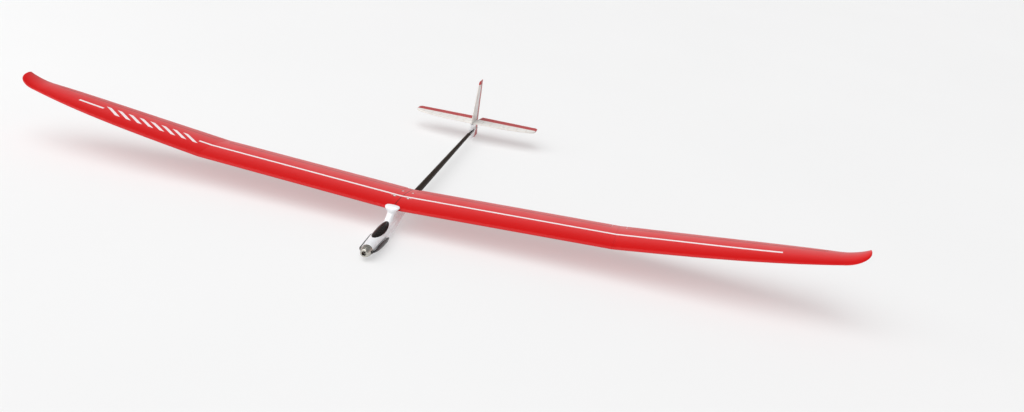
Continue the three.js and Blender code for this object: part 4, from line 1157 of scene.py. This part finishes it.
def build_tail_controls():
    y, top = TAIL_SERVO["y"], TAIL_SERVO["top"]
    for kind, side in (("rudder", 1), ("elevator", -1)):
        x = side * TAIL_SERVO["out"]
        case = servo_case(f"{kind}_servo_case", (x - 5.5, y - 11.5, top - 18), (x + 5.5, y + 11.5, top))
        add_piece(case, "airframe", SERVO, [f"{kind}_servo"])
        pivot_y = y - 6
        outline = [(x + side * a, pivot_y + b) for a, b in arm_outline(-0.6, 8.4, 2.4, 1.9)]
        holes = [(x + side * (9 - 2.6 * k), pivot_y) for k in range(2)]
        arm = arm_plate(f"{kind}_servo_arm_shape", outline, 1.9, top + 1.4, "Z", holes)
        add_piece(arm, f"{kind}_arm", NYLON, [f"{kind}_servo_arm"])
        corners = [(x + side * 9, pivot_y, top + 3.3 + GAP)]
        corners += [(side * 2.6, along, boom_z(along)) for along in (ROD_ENTRY_Y, ROD_EXIT_Y)]
        path = rounded_path(corners + ROD_ENDS[kind], 7)
        add_piece(rod(f"{kind}_rod_wire", path, 0.88, 14), f"{kind}_rod", STEEL, [f"{kind}_pushrod"])
    eye_x, eye_y, _ = ROD_ENDS["rudder"][-1]
    horn = box_solid("rudder_horn", (2.6, eye_y - 2.8, -17.9), (eye_x + 3.3, eye_y + 2.8, -16.1), 0.3)
    drill(horn, 0.6, (-20, -14), (eye_x, eye_y, 0), "Z")
    add_piece(horn, "rudder", NYLON)


def cut_around(obj, count, low, high, bevel=0.0):
    """Cuts the same box out of a motor part at equal angles round the shaft."""
    for k in range(count):
        cutter = box_solid("cutter", low, high, bevel)
        turn = Matrix.Rotation(2 * pi * k / count, 4, "Y")
        cutter.data.transform(Matrix.Translation((0, 0, MOTOR_Z)) @ turn)
        combine(obj, cutter, "DIFFERENCE")


def build_equipment():
    """Battery and its leads, speed controller, receiver, motor, shaft and blade pins."""
    low, high = (-14, -112, -70), (14, -34, -48)
    pack = box_solid("battery_cells", low, high, 2.6)
    for level in (-62.7, -55.3):
        groove_round(pack, low, high, level, 0.5, 0.5, 1.0)
    add_piece(pack, "airframe", WRAP, ["battery_pack"])
    add_piece(box_solid("controller_sleeve", (-11, -166, -73), (11, -118, -64), 1.9), "airframe", BLUE,
              ["speed_controller"])
    add_piece(servo_case("receiver_case", (-7, 62, -51), (7, 96, -43)), "airframe", SERVO, ["receiver"])
    for word, x in (("left", 4.5), ("right", -4.5)):
        path = rounded_path([(x, -113, -66), (x, -115.5, -66), (x, -117.4, -68)], 1.2)
        add_piece(rod(f"battery_lead_{word}", path, 1.1, 14), "airframe", SERVO)
    face = NOSE_Y + 7.4
    profile = [(3.2, face), (11.7, face), (12, face + 0.3), (12, face + 3), (9.5, face + 5),
               (9.5, face + 24), (3.2, face + 24)]
    stator = lathe("stator_core", profile, (0, 0, MOTOR_Z), sides=72)
    cut_around(stator, 9, (-0.8, face + 6, 5.5), (0.8, face + 25, 12))
    add_piece(stator, "airframe", STEEL, ["motor_stator"])
    near, far = face + 7, face + 30
    bell = lathe("bell_can", [(3, far - 2), (11, far - 2), (11, near), (13.2, near), (13.5, near + 0.3),
                              (13.5, far - 1), (12.6, far), (3, far)], (0, 0, MOTOR_Z), sides=72)
    cut_around(bell, 6, (-2, far - 3, 5), (2, far + 1, 9.5), 0.6)
    add_piece(bell, "rotor", MOTOR, ["motor_bell"])
    shaft = lathe("shaft_rod", [(0, NOSE_Y - 12), (2.1, NOSE_Y - 12), (2.5, NOSE_Y - 11.6), (2.5, far + 1.7),
                                (2.2, far + 2), (0, far + 2)], (0, 0, MOTOR_Z), sides=40)
    add_piece(shaft, "rotor", STEEL, ["motor_shaft"])
    for word, side in (("left", 1), ("right", -1)):
        pin = lathe(f"pin_{word}", [(0, -6), (1.3, -6), (1.5, -5.8), (1.5, 5.8), (1.3, 6), (0, 6)],
                    (side * BLADE_PIN_X, PIN_Y, MOTOR_Z), "Z", 24)
        add_piece(pin, "rotor", STEEL, [f"blade_pin_{word}"])


def build_floor():
    size = 30
    bm = bmesh.new()
    bmesh.ops.create_grid(bm, x_segments=24, y_segments=24, size=size)
    mesh = bpy.data.meshes.new("studio_floor")
    bm.to_mesh(mesh)
    bm.free()
    floor = raw_object("studio_floor", mesh)
    mesh.materials.append(floor_material())


def add_light(data, towards, location=(0, 0, 0)):
    lamp = raw_object(data.name, data)
    lamp.location = location
    lamp.rotation_mode = "QUATERNION"
    lamp.rotation_quaternion = towards.to_track_quat("-Z", "Y")


def add_area(name, location, target, size, power):
    data = bpy.data.lights.new(name, "AREA")
    data.shape = "RECTANGLE"
    data.size, data.size_y = size
    data.energy = power
    add_light(data, Vector(target) - Vector(location), location)


def studio_world():
    """Bright low down all round and darker overhead, as in a studio with lit walls."""
    world = bpy.data.worlds.new("studio")
    world.use_nodes = True
    tree = world.node_tree
    coords = tree.nodes.new("ShaderNodeTexCoord")
    split = tree.nodes.new("ShaderNodeSeparateXYZ")
    ramp = tree.nodes.new("ShaderNodeValToRGB")
    stops = [(0.0, 0.80), (0.22, 0.56), (0.45, 0.36), (0.75, 0.3)]
    while len(ramp.color_ramp.elements) < len(stops):
        ramp.color_ramp.elements.new(0.5)
    for element, (position, value) in zip(ramp.color_ramp.elements, stops):
        element.position = position
        element.color = (value, value, value * 1.01, 1)
    tree.links.new(coords.outputs["Generated"], split.inputs[0])
    tree.links.new(split.outputs["Z"], ramp.inputs[0])
    tree.links.new(ramp.outputs[0], tree.nodes["Background"].inputs["Color"])
    bpy.context.scene.world = world


def add_sun(source, strength, spread_degrees):
    data = bpy.data.lights.new("soft_sun", "SUN")
    data.energy = strength
    data.angle = radians(spread_degrees)
    add_light(data, -Vector(source))


def build_stage():
    build_floor()
    studio_world()
    add_sun((-0.28, -0.3, 0.9), 2.45, 75)
    add_area("side_softbox", (-4.5, -0.5, 2.5), (0, 0.2, 0.1), (3, 3), 40)
    bpy.context.scene.view_settings.view_transform = "Standard"


def build_camera():
    data = bpy.data.cameras.new("camera")
    data.lens = 31.64
    data.sensor_width = 36
    data.shift_x, data.shift_y = 0.04406, 0.03108
    data.clip_start, data.clip_end = 0.05, 100
    camera = raw_object("camera", data)
    tilt, roll, heading = (radians(angle) for angle in (64.8367, -6.8601, 15.68))
    camera.rotation_mode = "QUATERNION"
    camera.rotation_quaternion = (TURN.to_3x3() @ Euler((tilt, roll, heading)).to_matrix()).to_quaternion()
    camera.location = TO_ROW @ Vector((835.91, -2593.20, 1196.82))
    bpy.context.scene.camera = camera


for build in (build_wing, build_fuselage, build_propeller, build_stabilizer, build_elevator, build_fin,
              build_rudder, build_wing_controls, build_bolts, build_tail_controls, build_equipment,
              build_stage, build_camera):
    build()
